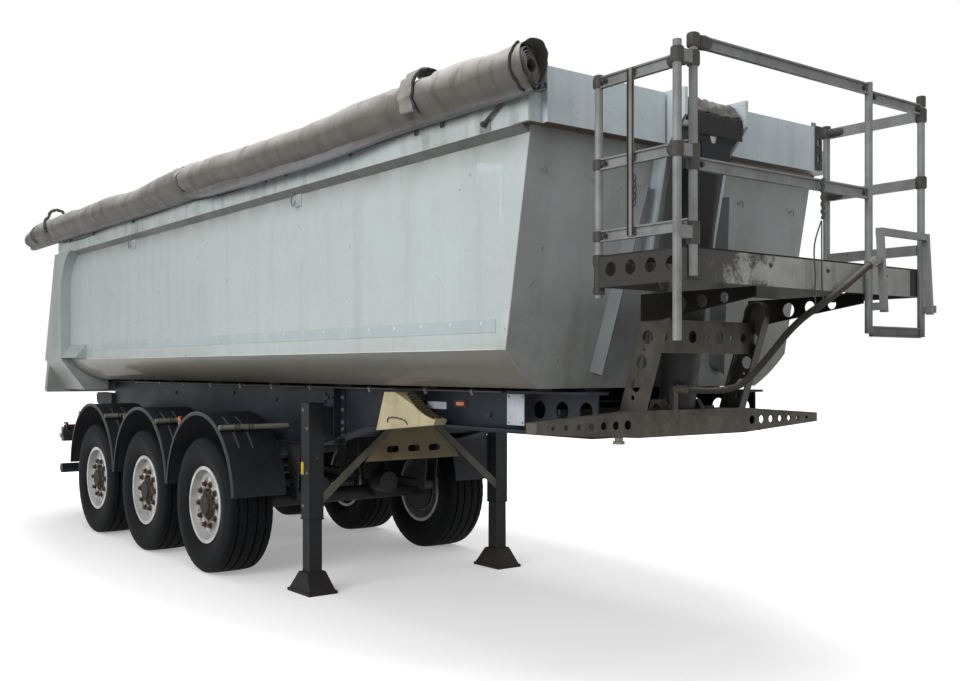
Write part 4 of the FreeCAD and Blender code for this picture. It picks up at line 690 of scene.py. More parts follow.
def make_finishes():
    """Every finish, in the trailer's own colours."""
    colours = bpy.context.scene.trailer_colours
    GROUPS.update(
        grime=grime_group(), scuffs=scuffs_group(), rust=rust_group(), grain=grain_group(),
        facing=facing_group(), shadow_band=shadow_band_group(), wheel_dirt=wheel_dirt_group(),
        low_soot=low_soot_group(),
    )
    TREES.update(bolts=bolt_tree(), chain=chain_tree())
    brown = srgb(112, 98, 78)
    # The bed's side: painted shade below the rail and on faces that turn down, and towards the foot of the
    # tub painted shade with brown dirt
    finish("bed_side", tuple(colours.bed_side), brown, patches=0.16, streaks=0.13, foot=0.75,
           foot_height=0.14, foot_reach=0.42, scale=1.1, scratches=0.1, chips=0.5, bare=srgb(96, 84, 72),
           rough=0.42, dents=1.2, bump=0.25, bump_distance=0.004, coat=0.15, ledge=0.95, ledge_height=1.6,
           ledge_reach=0.24, facing=((0, 0, -1), srgb(112, 111, 103), 0.05, 0.75, 0.0))
    # The front wall: a darker copy of the bed's paint, partly painted shade and partly dust, with painted
    # shade below its top and towards its foot
    finish("bed_front", srgb(166, 173, 173), srgb(112, 108, 98), patches=0.35, streaks=0.22, foot=0.45,
           foot_height=0.2, foot_reach=1.1, scale=0.9, scratches=0.2, chips=0.7, bare=srgb(70, 60, 52),
           rough=0.5, dents=2.0, bump=0.3, bump_distance=0.005, ledge=0.75, ledge_height=1.6,
           ledge_reach=0.34)
    finish("bed_frame", srgb(170, 181, 180), brown, patches=0.26, streaks=0.24, foot=0.55,
           foot_height=0.1, foot_reach=0.5, scale=1.6, scratches=0.3, chips=0.6, bare=srgb(90, 80, 70),
           rough=0.45)
    # Headboard and bracket: a lighter copy of the bed's paint as painted light, with painted shade on faces
    # that turn down
    finish("head_lit_and_shaded_paint", srgb(203, 216, 221), brown, patches=0.2, streaks=0.2, foot=0.3, foot_height=1.0,
           foot_reach=0.4, scale=1.6, scratches=0.3, chips=0.6, bare=srgb(90, 80, 70), rough=0.45,
           facing=((0, 0, -1), srgb(88, 70, 58), 0.3, 0.8, 0.0))
    # Painted shade on the rails' faces that turn down
    finish("rail_paint", tuple(colours.rails), srgb(84, 80, 74), patches=0.4, streaks=0.4, scale=2.4,
           scratches=0.3, chips=0.5, rough=0.45, facing=((0, 0, -1), srgb(98, 80, 68), 0.3, 0.8, 0.0))
    finish("chassis_paint", tuple(colours.chassis), srgb(36, 37, 38), shine=0.25, patches=0.4,
           streaks=0.2, foot=0.3, scale=2.2, scratches=0.25, chips=0.4, bare=srgb(84, 78, 70), rust=0.12,
           rough=0.5)
    finish("under_paint", srgb(26, 29, 33), srgb(48, 45, 41), patches=0.6, scale=3.0, rust=0.3,
           rough=0.65)
    finish("leg_paint", srgb(25, 31, 37), srgb(60, 51, 42), shine=0.25, patches=0.4, streaks=0.25,
           foot=0.7, foot_reach=0.4, scale=4.0, scratches=0.4, chips=0.8, bare=srgb(112, 106, 98),
           rust=0.22, rough=0.5)
    finish("guard_plastic", srgb(18, 23, 29), srgb(46, 47, 48), shine=0.3, patches=0.35, streaks=0.2,
           foot=0.3, foot_height=-0.6, foot_reach=0.5, scale=3.0, scratches=0.3, bare=srgb(96, 100, 104),
           rough=0.48, grain=220.0)
    finish("rubber", srgb(32, 33, 34), srgb(82, 76, 68), patches=0.5, scale=6.0, rough=0.75, grain=140.0)
    finish("tyre_rubber", srgb(14, 16, 19), srgb(32, 31, 30), shine=0.14, patches=0.35, foot=0.3,
           foot_reach=0.3, scale=5.0, rough=0.72, grain=180.0, bump=0.15)
    finish("wheel_silver", tuple(colours.wheels), srgb(92, 80, 68), patches=0.5, streaks=0.1, scale=5.0,
           scratches=0.2, chips=0.4, rust=0.12, rust_scale=14.0, rough=0.36, metal=0.35, wheel=True)
    finish("hub_grease", srgb(70, 58, 48), srgb(30, 26, 23), patches=0.9, scale=16.0, rust=0.55,
           rust_scale=20.0, rough=0.6)
    # Painted shade low on the left side, on the step below the deck
    finish("galvanised", srgb(137, 140, 139), srgb(72, 66, 58), patches=0.6, streaks=0.3, scale=5.0,
           chips=0.5, bare=srgb(90, 70, 52), rust=0.22, rust_scale=9.0, rough=0.5, metal=0.1, grain=90.0,
           low_shade_top=0.76)
    finish("galvanised_dark", srgb(50, 47, 43), srgb(24, 22, 20), patches=0.75, streaks=0.4, scale=4.0,
           rust=0.4, rust_scale=7.0, rough=0.62, metal=0.15)
    finish("deck_edge", srgb(40, 37, 34), srgb(26, 24, 22), patches=0.5, streaks=0.3, scale=3.0, rust=0.4,
           rust_scale=8.0, rough=0.6, metal=0.1, facing=((1, 0, 0), srgb(164, 165, 161), 0.4, 0.8, 0.96))
    finish("stand_steel", srgb(86, 81, 73), srgb(30, 27, 24), patches=1.0, streaks=0.3, scale=3.5,
           rust=0.42, rust_scale=7.0, rough=0.62, metal=0.1)
    # The stand's steel, with painted shade low on its left side
    finish("stand_dark", srgb(82, 77, 69), srgb(28, 25, 22), patches=1.0, streaks=0.3, scale=3.5,
           rust=0.42, rust_scale=7.0, rough=0.62, metal=0.1, low_shade_top=1.0)
    finish("bearer_black", srgb(30, 28, 26), srgb(18, 17, 16), shine=0.08, patches=0.75, streaks=0.4,
           scale=4.0, rust=0.3, rust_scale=7.0, rough=0.65)
    # Painted shade on the deck's faces that turn down
    finish("deck_plate", srgb(58, 55, 50), srgb(26, 24, 22), shine=0.08, patches=0.75, streaks=0.4,
           scale=4.0, rust=0.4, rust_scale=7.0, rough=0.62,
           facing=((0, 0, -1), srgb(14, 13, 12), 0.2, 0.7, 0.0))
    # Painted shade: the dark strips under the rails
    finish("rail_shade_paint", srgb(102, 105, 101), srgb(78, 74, 66), patches=0.5, streaks=0.5, scale=2.2,
           scratches=0.3, chips=0.4, rough=0.55)
    # The front wall's ribs: a darker copy of its paint, as painted shade
    finish("rib_shaded_paint", srgb(116, 122, 124), srgb(84, 80, 72), patches=0.4, streaks=0.25, scale=1.4,
           scratches=0.3, chips=0.7, bare=srgb(70, 60, 52), rough=0.5)
    finish("clamp_iron", srgb(66, 64, 61), srgb(40, 37, 34), patches=0.6, scale=14.0, rust=0.45,
           rust_scale=22.0, rough=0.6, metal=0.3)
    finish("cream_paint", srgb(196, 184, 146), srgb(104, 92, 70), patches=0.5, streaks=0.25, scale=5.0,
           scratches=0.4, chips=0.9, rust=0.2, rust_scale=12.0, rough=0.5)
    finish("lamp_housing", srgb(28, 29, 31), srgb(74, 69, 62), patches=0.45, scale=7.0, rough=0.5,
           grain=200.0)
    finish("lamp_red", srgb(150, 22, 20), srgb(80, 60, 50), patches=0.35, scale=8.0, rough=0.2, coat=0.6)
    finish("lamp_orange", srgb(214, 104, 32), srgb(96, 78, 56), patches=0.3, scale=9.0, rough=0.25,
           coat=0.5)
    finish("reflector_white", srgb(190, 198, 206), srgb(110, 104, 94), patches=0.4, scale=8.0, rough=0.3)
    finish("tape_blue", srgb(200, 210, 214), srgb(150, 150, 144), patches=0.3, streaks=0.2, scale=5.0,
           scratches=0.4, rough=0.2)
    finish("cylinder_paint", srgb(30, 32, 31), srgb(38, 35, 30), shine=0.2, patches=0.7, streaks=0.4,
           scale=4.0, rough=0.45)
    finish("cylinder_chrome", srgb(176, 176, 174), srgb(46, 40, 34), patches=0.5, streaks=0.3, scale=6.0,
           rough=0.22, metal=0.9)
    finish("bare_steel", srgb(132, 128, 122), srgb(40, 34, 28), patches=0.7, scale=12.0, rust=0.35,
           rust_scale=18.0, rough=0.4, metal=0.8)
    finish("bolt_steel", srgb(146, 143, 136), srgb(70, 60, 50), patches=0.6, scale=30.0, rust=0.3,
           rust_scale=40.0, rough=0.42, metal=0.7)
    finish("strap_cloth", srgb(150, 148, 141), srgb(84, 76, 66), patches=0.6, streaks=0.5, scale=9.0,
           rough=0.8, grain=260.0, bump=0.2)
    finish("strap_dark", srgb(84, 78, 70), srgb(40, 37, 34), patches=0.7, scale=14.0, rough=0.85,
           grain=240.0, bump=0.3)
    finish("tarp_inside", srgb(92, 87, 82), srgb(46, 43, 41), patches=0.8, scale=9.0, rough=0.8,
           grain=240.0, bump=0.2)
    finish("rope_black", srgb(26, 26, 27), srgb(64, 60, 54), patches=0.4, scale=18.0, rough=0.7,
           grain=300.0, bump=0.2)
    finish("strip_blue", srgb(184, 196, 199), srgb(120, 112, 98), patches=0.25, streaks=0.1, scale=2.0,
           scratches=0.4, rough=0.4)
    # A painted highlight along the crease of the tub
    finish("crease_edge", srgb(214, 220, 218), srgb(120, 104, 84), patches=0.4, scale=3.0, rough=0.4)
    finish("rivet_white", srgb(226, 230, 230), srgb(130, 120, 104), patches=0.3, scale=30.0, rough=0.35,
           metal=0.3)
    # Black of the cover's flap, partly painted shade, and of the plate above the block, which is painted
    # shade
    finish("head_black", srgb(24, 24, 24), srgb(44, 42, 40), patches=0.5, scale=9.0, rough=0.8)
    finish("rust_edge", srgb(76, 58, 46), srgb(50, 40, 32), patches=0.5, scale=9.0, rust=0.4, rough=0.8)
    finish("rope_green", srgb(58, 66, 60), srgb(40, 38, 34), patches=0.4, scale=18.0, rough=0.7,
           grain=300.0)
    finish("chock_dirt", srgb(134, 122, 80), srgb(84, 72, 46), patches=0.7, scale=9.0, rough=0.8)
    finish("chock_dark", srgb(70, 62, 44), srgb(40, 36, 28), patches=0.6, scale=12.0, rough=0.85)
    # Pale: a painted highlight on the guards' beads, and the colour of the strips under their straps
    finish("guard_edge", srgb(74, 82, 90), srgb(48, 50, 52), patches=0.5, scale=5.0, rough=0.5)
    finish("stay_tube", srgb(128, 126, 112), srgb(60, 58, 50), patches=0.7, scale=6.0, rough=0.6)
    finish("brace_olive", srgb(92, 90, 78), srgb(48, 46, 40), patches=0.7, scale=6.0, rust=0.3, rough=0.6)
    finish("plate_olive", srgb(140, 128, 96), srgb(84, 74, 54), patches=0.6, streaks=0.3, scale=5.0,
           chips=0.6, rough=0.6)
    finish("head_rubber", srgb(120, 118, 112), srgb(52, 48, 44), patches=0.9, scale=7.0, rough=0.6,
           grain=90.0, bump=0.3)
    finish("hose_rubber", srgb(62, 59, 56), srgb(84, 78, 68), shine=0.2, patches=0.5, scale=9.0,
           rough=0.75, grain=160.0, facing=((0, 0, 1), srgb(128, 122, 112), 0.2, 0.85, 0.5))
    finish("yellow_tag", srgb(218, 190, 40), srgb(120, 100, 60), patches=0.3, scale=12.0, rough=0.45)
    tarp_cloth()


def dress_frame():
    """Each CAD node in the finish of its piece."""
    dress("bed_side", "bed_tub")
    dress("bed_front", "bed_front_wall")
    dress("rib_shaded_paint", "bed_front_ribs")
    dress("bed_frame", "bed_rear_frame", "tailgate")
    dress("head_lit_and_shaded_paint", "bed_headboard", "cylinder_bracket")
    dress("rail_paint", "bed_top_rails")
    dress("under_paint", "bed_bearers", "bed_hinge_lugs", "axles", "suspension_hangers", "trailing_arms",
          "air_tanks", "crossmembers", "hinge_brackets")
    dress("chassis_paint", "chassis_beams", "coupling_plate", "underrun_arms", "underrun_bar")
    dress("leg_paint", "landing_legs", "landing_rams")
    dress("guard_plastic", "mudguards")
    dress("rubber", "air_springs", "rest_pads")
    dress("bare_steel", "kingpin")
    dress("cream_paint", "wheel_chock")
    dress("plate_olive", "landing_cross_plate")
    dress("brace_olive", "landing_braces")
    dress("stay_tube", "mudguard_stays")
    dress("hose_rubber", "air_hose")
    dress("lamp_housing", "rear_lamps")
    dress("galvanised", "handrail_posts", "handrail_rails", "folding_step")
    dress("deck_plate", "platform_plate")
    dress("bearer_black", "platform_bearers")
    dress("deck_edge", "platform_edges")
    dress("stand_steel", "front_crossbeam")
    dress("stand_dark", "platform_stand")
    dress("cylinder_paint", "cylinder_barrel")
    dress("cylinder_chrome", *[f"cylinder_stage_{number}" for number in range(1, 6)])
    for number in AXLES:
        for side in SIDES:
            dress("tyre_rubber", f"tyre_{number}_{side}")
            dress("wheel_silver", f"rim_{number}_{side}")


# Stage
CAMERA_PLACE = (7.978, -4.570, 1.604)
CAMERA_WAY = (-0.793, 0.609, 0)
CAMERA_SHIFT_Y = 0.0298
SENSOR_WIDTH = 36
CLIP_END = 200
FLOOR_HALF_WIDTH = 60


def aim(obj, place, way):
    """Stand a camera or lamp at a place and point it along a vector."""
    obj.location = Vector(place) + ORIGIN
    obj.rotation_mode = "QUATERNION"
    obj.rotation_quaternion = Vector(way).to_track_quat("-Z", "Y")


def add_lamp(name, place, target, size, power):
    """A rectangular soft lamp that looks at a target."""
    light = bpy.data.lights.new(name, "AREA")
    light.shape = "RECTANGLE"
    light.size, light.size_y = size
    light.energy = power
    obj = bpy.data.objects.new(name, light)
    bpy.context.scene.collection.objects.link(obj)
    aim(obj, place, Vector(target) - Vector(place))


def floor_material():
    """Pale to the camera and in reflections, and white further away, so that the shadow shows."""
    material, tree = new_material("floor")
    path = tree.nodes.new("ShaderNodeLightPath")
    seen = calc(tree, "MAXIMUM", path.outputs["Is Camera Ray"], path.outputs["Is Glossy Ray"])
    shade = blend_colours(tree, seen, (0.2, 0.2, 0.2, 1), (0.8, 0.8, 0.8, 1))
    pale = put(tree, "ShaderNodeBsdfDiffuse", {"Color": shade})
    place = tree.nodes.new("ShaderNodeTexCoord").outputs["Object"]
    away = put(tree, "ShaderNodeMapping", {
        "Vector": place, "Location": (0.45, 0.0, 0.0), "Scale": (0.125, 0.3, 0.0),
    })
    distance = put(tree, "ShaderNodeVectorMath", {0: away.outputs[0]}, operation="LENGTH").outputs["Value"]
    strength = calc(tree, "MULTIPLY", seen, level(tree, distance, 0.55, 1.15, 0.3, 1.1))
    glow = put(tree, "ShaderNodeEmission", {"Color": (1, 1, 1, 1), "Strength": strength})
    put_out(tree, put(tree, "ShaderNodeAddShader", {0: pale.outputs[0], 1: glow.outputs[0]}))
    return material


def make_stage():
    """Camera at the photograph's place, pale floor, soft lamps and a white world."""
    settings = bpy.context.scene.trailer_stage
    scene = bpy.context.scene
    data = bpy.data.cameras.new("Camera")
    camera = bpy.data.objects.new("Camera", data)
    scene.collection.objects.link(camera)
    data.sensor_width = SENSOR_WIDTH
    data.lens = settings.focal_length
    data.shift_y = CAMERA_SHIFT_Y
    data.clip_end = CLIP_END
    aim(camera, CAMERA_PLACE, CAMERA_WAY)
    scene.camera = camera
    scene.view_settings.view_transform = "Standard"

    far = FLOOR_HALF_WIDTH
    corners = [(x, y, ORIGIN.z) for x, y in ((-far, -far), (far, -far), (far, far), (-far, far))]
    floor_mesh = bpy.data.meshes.new("floor")
    floor_mesh.from_pydata(corners, [], [(0, 1, 2, 3)])
    floor = bpy.data.objects.new("floor", floor_mesh)
    scene.collection.objects.link(floor)
    floor_mesh.materials.append(floor_material())

    world = bpy.data.worlds.new("World")
    world.use_nodes = True
    tree = world.node_tree
    tree.nodes.clear()
    path = tree.nodes.new("ShaderNodeLightPath")
    seen = calc(tree, "MAXIMUM", path.outputs["Is Camera Ray"], path.outputs["Is Transmission Ray"])
    strength = level(tree, seen, 0.0, 1.0, settings.sky_strength, 1.0)
    sky = put(tree, "ShaderNodeBackground", {"Color": (1, 1, 1, 1), "Strength": strength})
    put_out(tree, sky, "ShaderNodeOutputWorld")
    scene.world = world

    add_lamp("side_softbox", (4.5, -10.0, 5.5), (1.5, -1.2, 2.0), (7, 5), settings.side_power)
    add_lamp("top_softbox", (0.0, 0.5, 11.0), (0, 0, 1.5), (14, 8), settings.top_power)
    add_lamp("front_softbox", (13.0, 1.5, 5.5), (3.5, 0, 1.8), (6, 5), settings.front_power)


# Rolled sheet
ROLL_Y = -1.25
ROLL_Z = 3.0827
ROLL_ENDS = (-4.6, 3.985)
ROLL_CORE = 0.03
ROLL_RADIUS = 0.121
ROLL_PITCH = 0.0145
SHEET_THICKNESS = 0.003
ROLL_STEPS = 26
ROLL_LAST_ANGLE = math.radians(-112)
ROLL_ROWS = 260
TAIL_STEPS = 8
STRAPS = (-3.72, -0.12, 3.14)
WIDE_STRAP_HALF_WIDTH = 0.068
BAND_STEPS = 36

# The roll opens from this x to its front end
LOOSE_FROM = 3.6
LOOSE_LENGTH = 0.38

# Along the roll: x, rise of its middle, radius
ROLL_FORM = [
    (-4.60, -0.030, 0.092), (-4.30, -0.006, 0.104), (-4.05, 0.004, 0.116), (-3.72, 0.016, 0.116),
    (-3.30, 0.014, 0.122), (-2.60, -0.006, 0.124), (-1.90, -0.004, 0.121), (-1.30, -0.016, 0.116),
    (-0.60, -0.004, 0.124), (-0.10, 0.018, 0.126), (0.40, 0.012, 0.122), (1.10, -0.012, 0.118),
    (1.90, -0.020, 0.119), (2.60, -0.012, 0.122), (3.05, 0.000, 0.120), (3.50, -0.002, 0.127),
    (3.985, -0.022, 0.132),
]


def smooth(share):
    share = max(0.0, min(1.0, share))
    return share * share * (3 - 2 * share)


def hump(x, middle, width):
    return math.exp(-((x - middle) / width) ** 2)


def along_form(x):
    """Rise and radius of the roll at x, smooth between the listed places."""
    for (x0, rise0, radius0), (x1, rise1, radius1) in zip(ROLL_FORM, ROLL_FORM[1:]):
        if x <= x1:
            share = smooth((x - x0) / (x1 - x0))
            return rise0 + (rise1 - rise0) * share, radius0 + (radius1 - radius0) * share
    return ROLL_FORM[-1][1:]


def roll_point(x, angle, layer):
    """A point of the roll; layer goes from 0 at the core to 1 at the outside."""
    rise, radius = along_form(x)
    loose = smooth((x - LOOSE_FROM) / LOOSE_LENGTH)
    share = layer * (1 - 0.4 * loose) + 0.4 * loose * layer ** 3
    size = (ROLL_CORE + (ROLL_RADIUS - ROLL_CORE) * share) / ROLL_RADIUS
    spot = Vector((x * 2.1, math.cos(angle) * 0.7, math.sin(angle) * 0.7))
    fold = noise.noise(spot) * 0.12 + noise.noise(spot * 2.7 + Vector((9, 0, 0))) * 0.045
    near = sum(hump(x, strap, 0.3) for strap in STRAPS) + 0.55 * loose
    pulled = Vector((x * 7.5 + math.sin(angle) * 2.2, math.cos(angle) * 1.8, 4.0))
    ridge = 1 - abs(noise.noise(pulled)) * 2.4
    fold += (ridge - 0.55) * 0.10 * near
    fold -= 0.10 * sum(hump(x, strap, 0.04) for strap in STRAPS)
    slack = 0.93 if math.sin(angle) < -0.6 else 1.0
    reach = radius * size * (1 + fold) * slack
    return Vector((x, ROLL_Y + reach * math.cos(angle), ROLL_Z + rise + reach * math.sin(angle)))


def spiral_turns():
    """The turns of the spiral, in whole steps."""
    return int((ROLL_RADIUS - ROLL_CORE) / ROLL_PITCH * ROLL_STEPS) / ROLL_STEPS


def skin_point(x, angle, stand_off=0.0):
    """A point on the outermost turn at an angle, or above it."""
    back = (ROLL_LAST_ANGLE - angle) % (2 * math.pi)
    point = roll_point(x, angle, 1 - back / (2 * math.pi * spiral_turns()))
    return point + Vector((0, math.cos(angle), math.sin(angle))) * stand_off


def front_end(angle, layer):
    """The front end's x: the near side reaches further forward than the far side, most of all at the foot."""
    return ROLL_ENDS[1] + 0.080 - 0.075 * layer * math.cos(angle) - 0.03 * layer * math.sin(angle)


def tail_points(x, last, count):
    """The sheet's loose end, which hangs from the roll in a slack fold and lies on the rail's edge."""
    slack = 0.25 + 0.75 * (smooth((x + 0.1) / 0.5) * (1 - smooth((x - 1.9) / 1.3)))
    slack *= 1 + 0.25 * noise.noise(Vector((x * 1.7, 3, 7)))
    lip = Vector((x, -RAIL_HALF_WIDTH - 0.004, RAIL_TOP - 0.02))
    middle = (last + lip) / 2 + Vector((0, -0.030 - 0.050 * slack, -0.012 - 0.105 * slack))
    points = []
    for step in range(1, count + 1):
        share = step / count
        points.append(last * (1 - share) ** 2 + middle * 2 * share * (1 - share) + lip * share ** 2)
    return points


def make_rolled_sheet():
    """The sheet as one spiral of cloth, tight at the core, with pulled folds beside its straps."""
    steps = int(spiral_turns() * ROLL_STEPS)
    points = []
    for row in range(ROLL_ROWS + 1):
        spiral = []
        for step in range(steps + 1):
            angle = ROLL_LAST_ANGLE - 2 * math.pi * (steps - step) / ROLL_STEPS
            end = front_end(angle, step / steps)
            x = ROLL_ENDS[0] + (end - ROLL_ENDS[0]) * row / ROLL_ROWS
            spiral.append(roll_point(x, angle, step / steps))
        points += spiral + tail_points(spiral[-1].x, spiral[-1], TAIL_STEPS)
    width = steps + TAIL_STEPS
    cloth = Piece().add(points, grid_faces(ROLL_ROWS, width))
    roll = cloth.finish("rolled_sheet", FINISHES["tarp_cloth"], "bed", "tarpaulin", replaces=("tarp_roll",),
                        sharp=60)
    thicken(roll, bpy.context.scene.trailer_sizes.sheet_thickness)


def band_round_roll(x, half_width, stand_off, thickness, start, end):
    """A closed band over the roll between two angles, in degrees, from the left side over the top."""
    points = []
    for step in range(BAND_STEPS + 1):
        angle = math.radians(start + (end - start) * step / BAND_STEPS)
        for offset in (-half_width, half_width):
            for height in (stand_off, stand_off + thickness):
                points.append(skin_point(x + offset, angle, height))
    faces = []
    for step in range(BAND_STEPS):
        a = step * 4
        b = a + 4
        faces += [(a, b, b + 1, a + 1), (a + 2, a + 3, b + 3, b + 2), (a + 1, b + 1, b + 3, a + 3),
                  (a, a + 2, b + 2, b)]
    last = BAND_STEPS * 4
    faces += [(0, 1, 3, 2), (last, last + 2, last + 3, last + 1)]
    return Piece().add(points, faces)


def stand_up(piece, height):
    """Lift a band off the top of the roll, so that it stands as a slack loop."""
    piece.points = [p + Vector((0, 0, height * smooth((p.z - ROLL_Z) / 0.12))) for p in piece.points]
    return piece


def make_roll_straps():
    """Straps round the roll, the cord at its front end and the bands of its rear cap."""
    dark = FINISHES["strap_dark"]
    half_width = round(bpy.context.scene.trailer_sizes.strap_half_width, 6)
    wide = stand_up(band_round_roll(STRAPS[2], half_width, 0.003, 0.008, 25, 222), 0.045)
    wide.finish("wide_strap", FINISHES["strap_cloth"], "bed", bevel=0.0015)
    beside = STRAPS[2] + half_width + 0.011
    edge = stand_up(band_round_roll(beside, 0.010, 0.002, 0.010, 10, 232), 0.036)
    edge.finish("wide_strap_edge", FINISHES["rope_black"], "bed")
    band_round_roll(STRAPS[1], 0.011, 0.001, 0.006, -80, 260).finish("middle_strap", dark, "bed")
    for number, x in enumerate((-4.30, -4.22)):
        band_round_roll(x, 0.010, 0.001, 0.006, -110, 250).finish(f"cap_band_{number}", dark, "bed")
    last = 25
    loop = []
    for step in range(last + 1):
        angle = math.radians(-40 + 250 * step / last)
        base = skin_point(STRAPS[0], angle)
        stand = 0.085 * smooth((base.z - ROLL_Z) / 0.11)
        wave = Vector((0.02 * math.sin(step * 2.1), math.cos(angle) * 0.02, stand + 0.012 * math.sin(angle)))
        loop.append(base + wave)
    thickness = [0.017 + 0.004 * math.cos(step * 2.6) for step in range(last + 1)]
    Piece().tube(loop, thickness, 10).finish("rear_loop", dark, "bed", subdivide=1)
    last = 27
    cord = []
    for step in range(last + 1):
        angle = math.radians(128 + 145 * step / last)
        back = 0.025 + 0.055 * math.sin(math.pi * step / last)
        cord.append(skin_point(front_end(angle, 1) - back, angle, 0.007))
    cord += [(4.045, -1.205, 2.955), (4.035, -1.165, 2.965), (4.020, -1.125, 2.990), (4.005, -1.105, 3.04),
             (4.000, -1.100, 3.12)]
    Piece().tube(cord, 0.007, 8).finish("front_cord", FINISHES["rope_black"], "bed")


# Rings of the rear cap: ahead of the roll's end, share of its radius
CAP_RINGS = ((0.03, 1.03), (-0.006, 1.0), (-0.035, 0.86), (-0.055, 0.6), (-0.062, 0.3), (-0.064, 0.05))
CAP_STEPS = 24


def make_roll_ends():
    """The pointed flap at the roll's front end, the bar inside it and the closed cap at its rear end."""
    cloth_thickness = bpy.context.scene.trailer_sizes.sheet_thickness
    rows = 12
    columns = 20
    points = []
    for row in range(rows + 1):
        share = row / rows
        for column in range(columns + 1):
            angle = math.radians(-40 + 155 * column / columns)
            crest = min(1.0, 1.25 * max(0.0, 1 - abs(column / columns - 0.60) * 2.1))
            base = skin_point(front_end(angle, 1), angle)
            out = Vector((0, math.cos(angle), math.sin(angle))) * 0.022 * share * crest
            points.append(base + out + Vector((share * (0.012 + 0.062 * crest), 0, 0)))
    flap = Piece().add(points, grid_faces(rows, columns))
    flap = flap.finish("front_flap", FINISHES["tarp_inside"], "bed", sharp=60)
    thicken(flap, cloth_thickness, -1)
    core = Vector((ROLL_ENDS[1], ROLL_Y, ROLL_Z))
    bar = Piece().rod(core - Vector((0.3, 0, 0)), core + Vector((0.012, 0, 0)), 0.021, 24)
    bar.finish("roll_bar_front", FINISHES["clamp_iron"], "bed", bevel=0.002)
    rear = ROLL_ENDS[0]
    middle = Vector((rear, ROLL_Y, ROLL_Z + along_form(rear)[0]))
    points = []
    for ahead, share in CAP_RINGS:
        for step in range(CAP_STEPS):
            edge = skin_point(rear + max(ahead, 0), math.radians(360 / CAP_STEPS * step)) - middle
            points.append(middle + Vector((ahead, edge.y * share, edge.z * share)))
    faces = []
    for ring in range(len(CAP_RINGS) - 1):
        here, there = ring * CAP_STEPS, (ring + 1) * CAP_STEPS
        for step in range(CAP_STEPS):
            after = (step + 1) % CAP_STEPS
            faces.append((here + step, here + after, there + after, there + step))
    faces.append(tuple(range(len(points) - CAP_STEPS, len(points))))
    cap = Piece().add(points, faces).finish("rear_cap", FINISHES["strap_dark"], "bed", sharp=60)
    thicken(cap, cloth_thickness, -1)
    peg = Vector((rear - 0.05, ROLL_Y, ROLL_Z - 0.03))
    peg_rod = Piece().rod(peg, peg - Vector((0.05, 0, 0)), 0.010, 12)
    peg_rod.finish("rear_peg", FINISHES["clamp_iron"], "bed", bevel=0.002)


# Rails and bed
RAIL_HALF_WIDTH = 1.205
RAIL_TOP = 2.97
RAIL_BOTTOM = 2.82
RAIL_INNER_Y = 1.1204
BED_HALF_WIDTH = 1.15
BED_REAR_X = -3.50

# A dark strip under the rail, as painted shade: its depth and the thickness of its web
COVE_DROP = 0.036
COVE_INNER_Y = 1.149
COVE_OUTER_Y = 1.154

# Cells of a slotted iron that are left open
SLOTS = {(1, 1), (1, 3)}


def wire_hook(piece, x, y, z):
    """An open ring of wire in the plane of the bed's side, taller than it is wide."""
    last = 11
    ring = []
    for step in range(last + 1):
        angle = math.radians(300 * step / last - 60)
        ring.append((x + 0.0126 * math.cos(angle), y, z + 0.018 * math.sin(angle)))
    piece.tube(ring, 0.0045, 6)


def front_wall_x(z):
    """The x of the leaning front wall at a height."""
    return 3.705 + 0.179 * (z - 1.5)


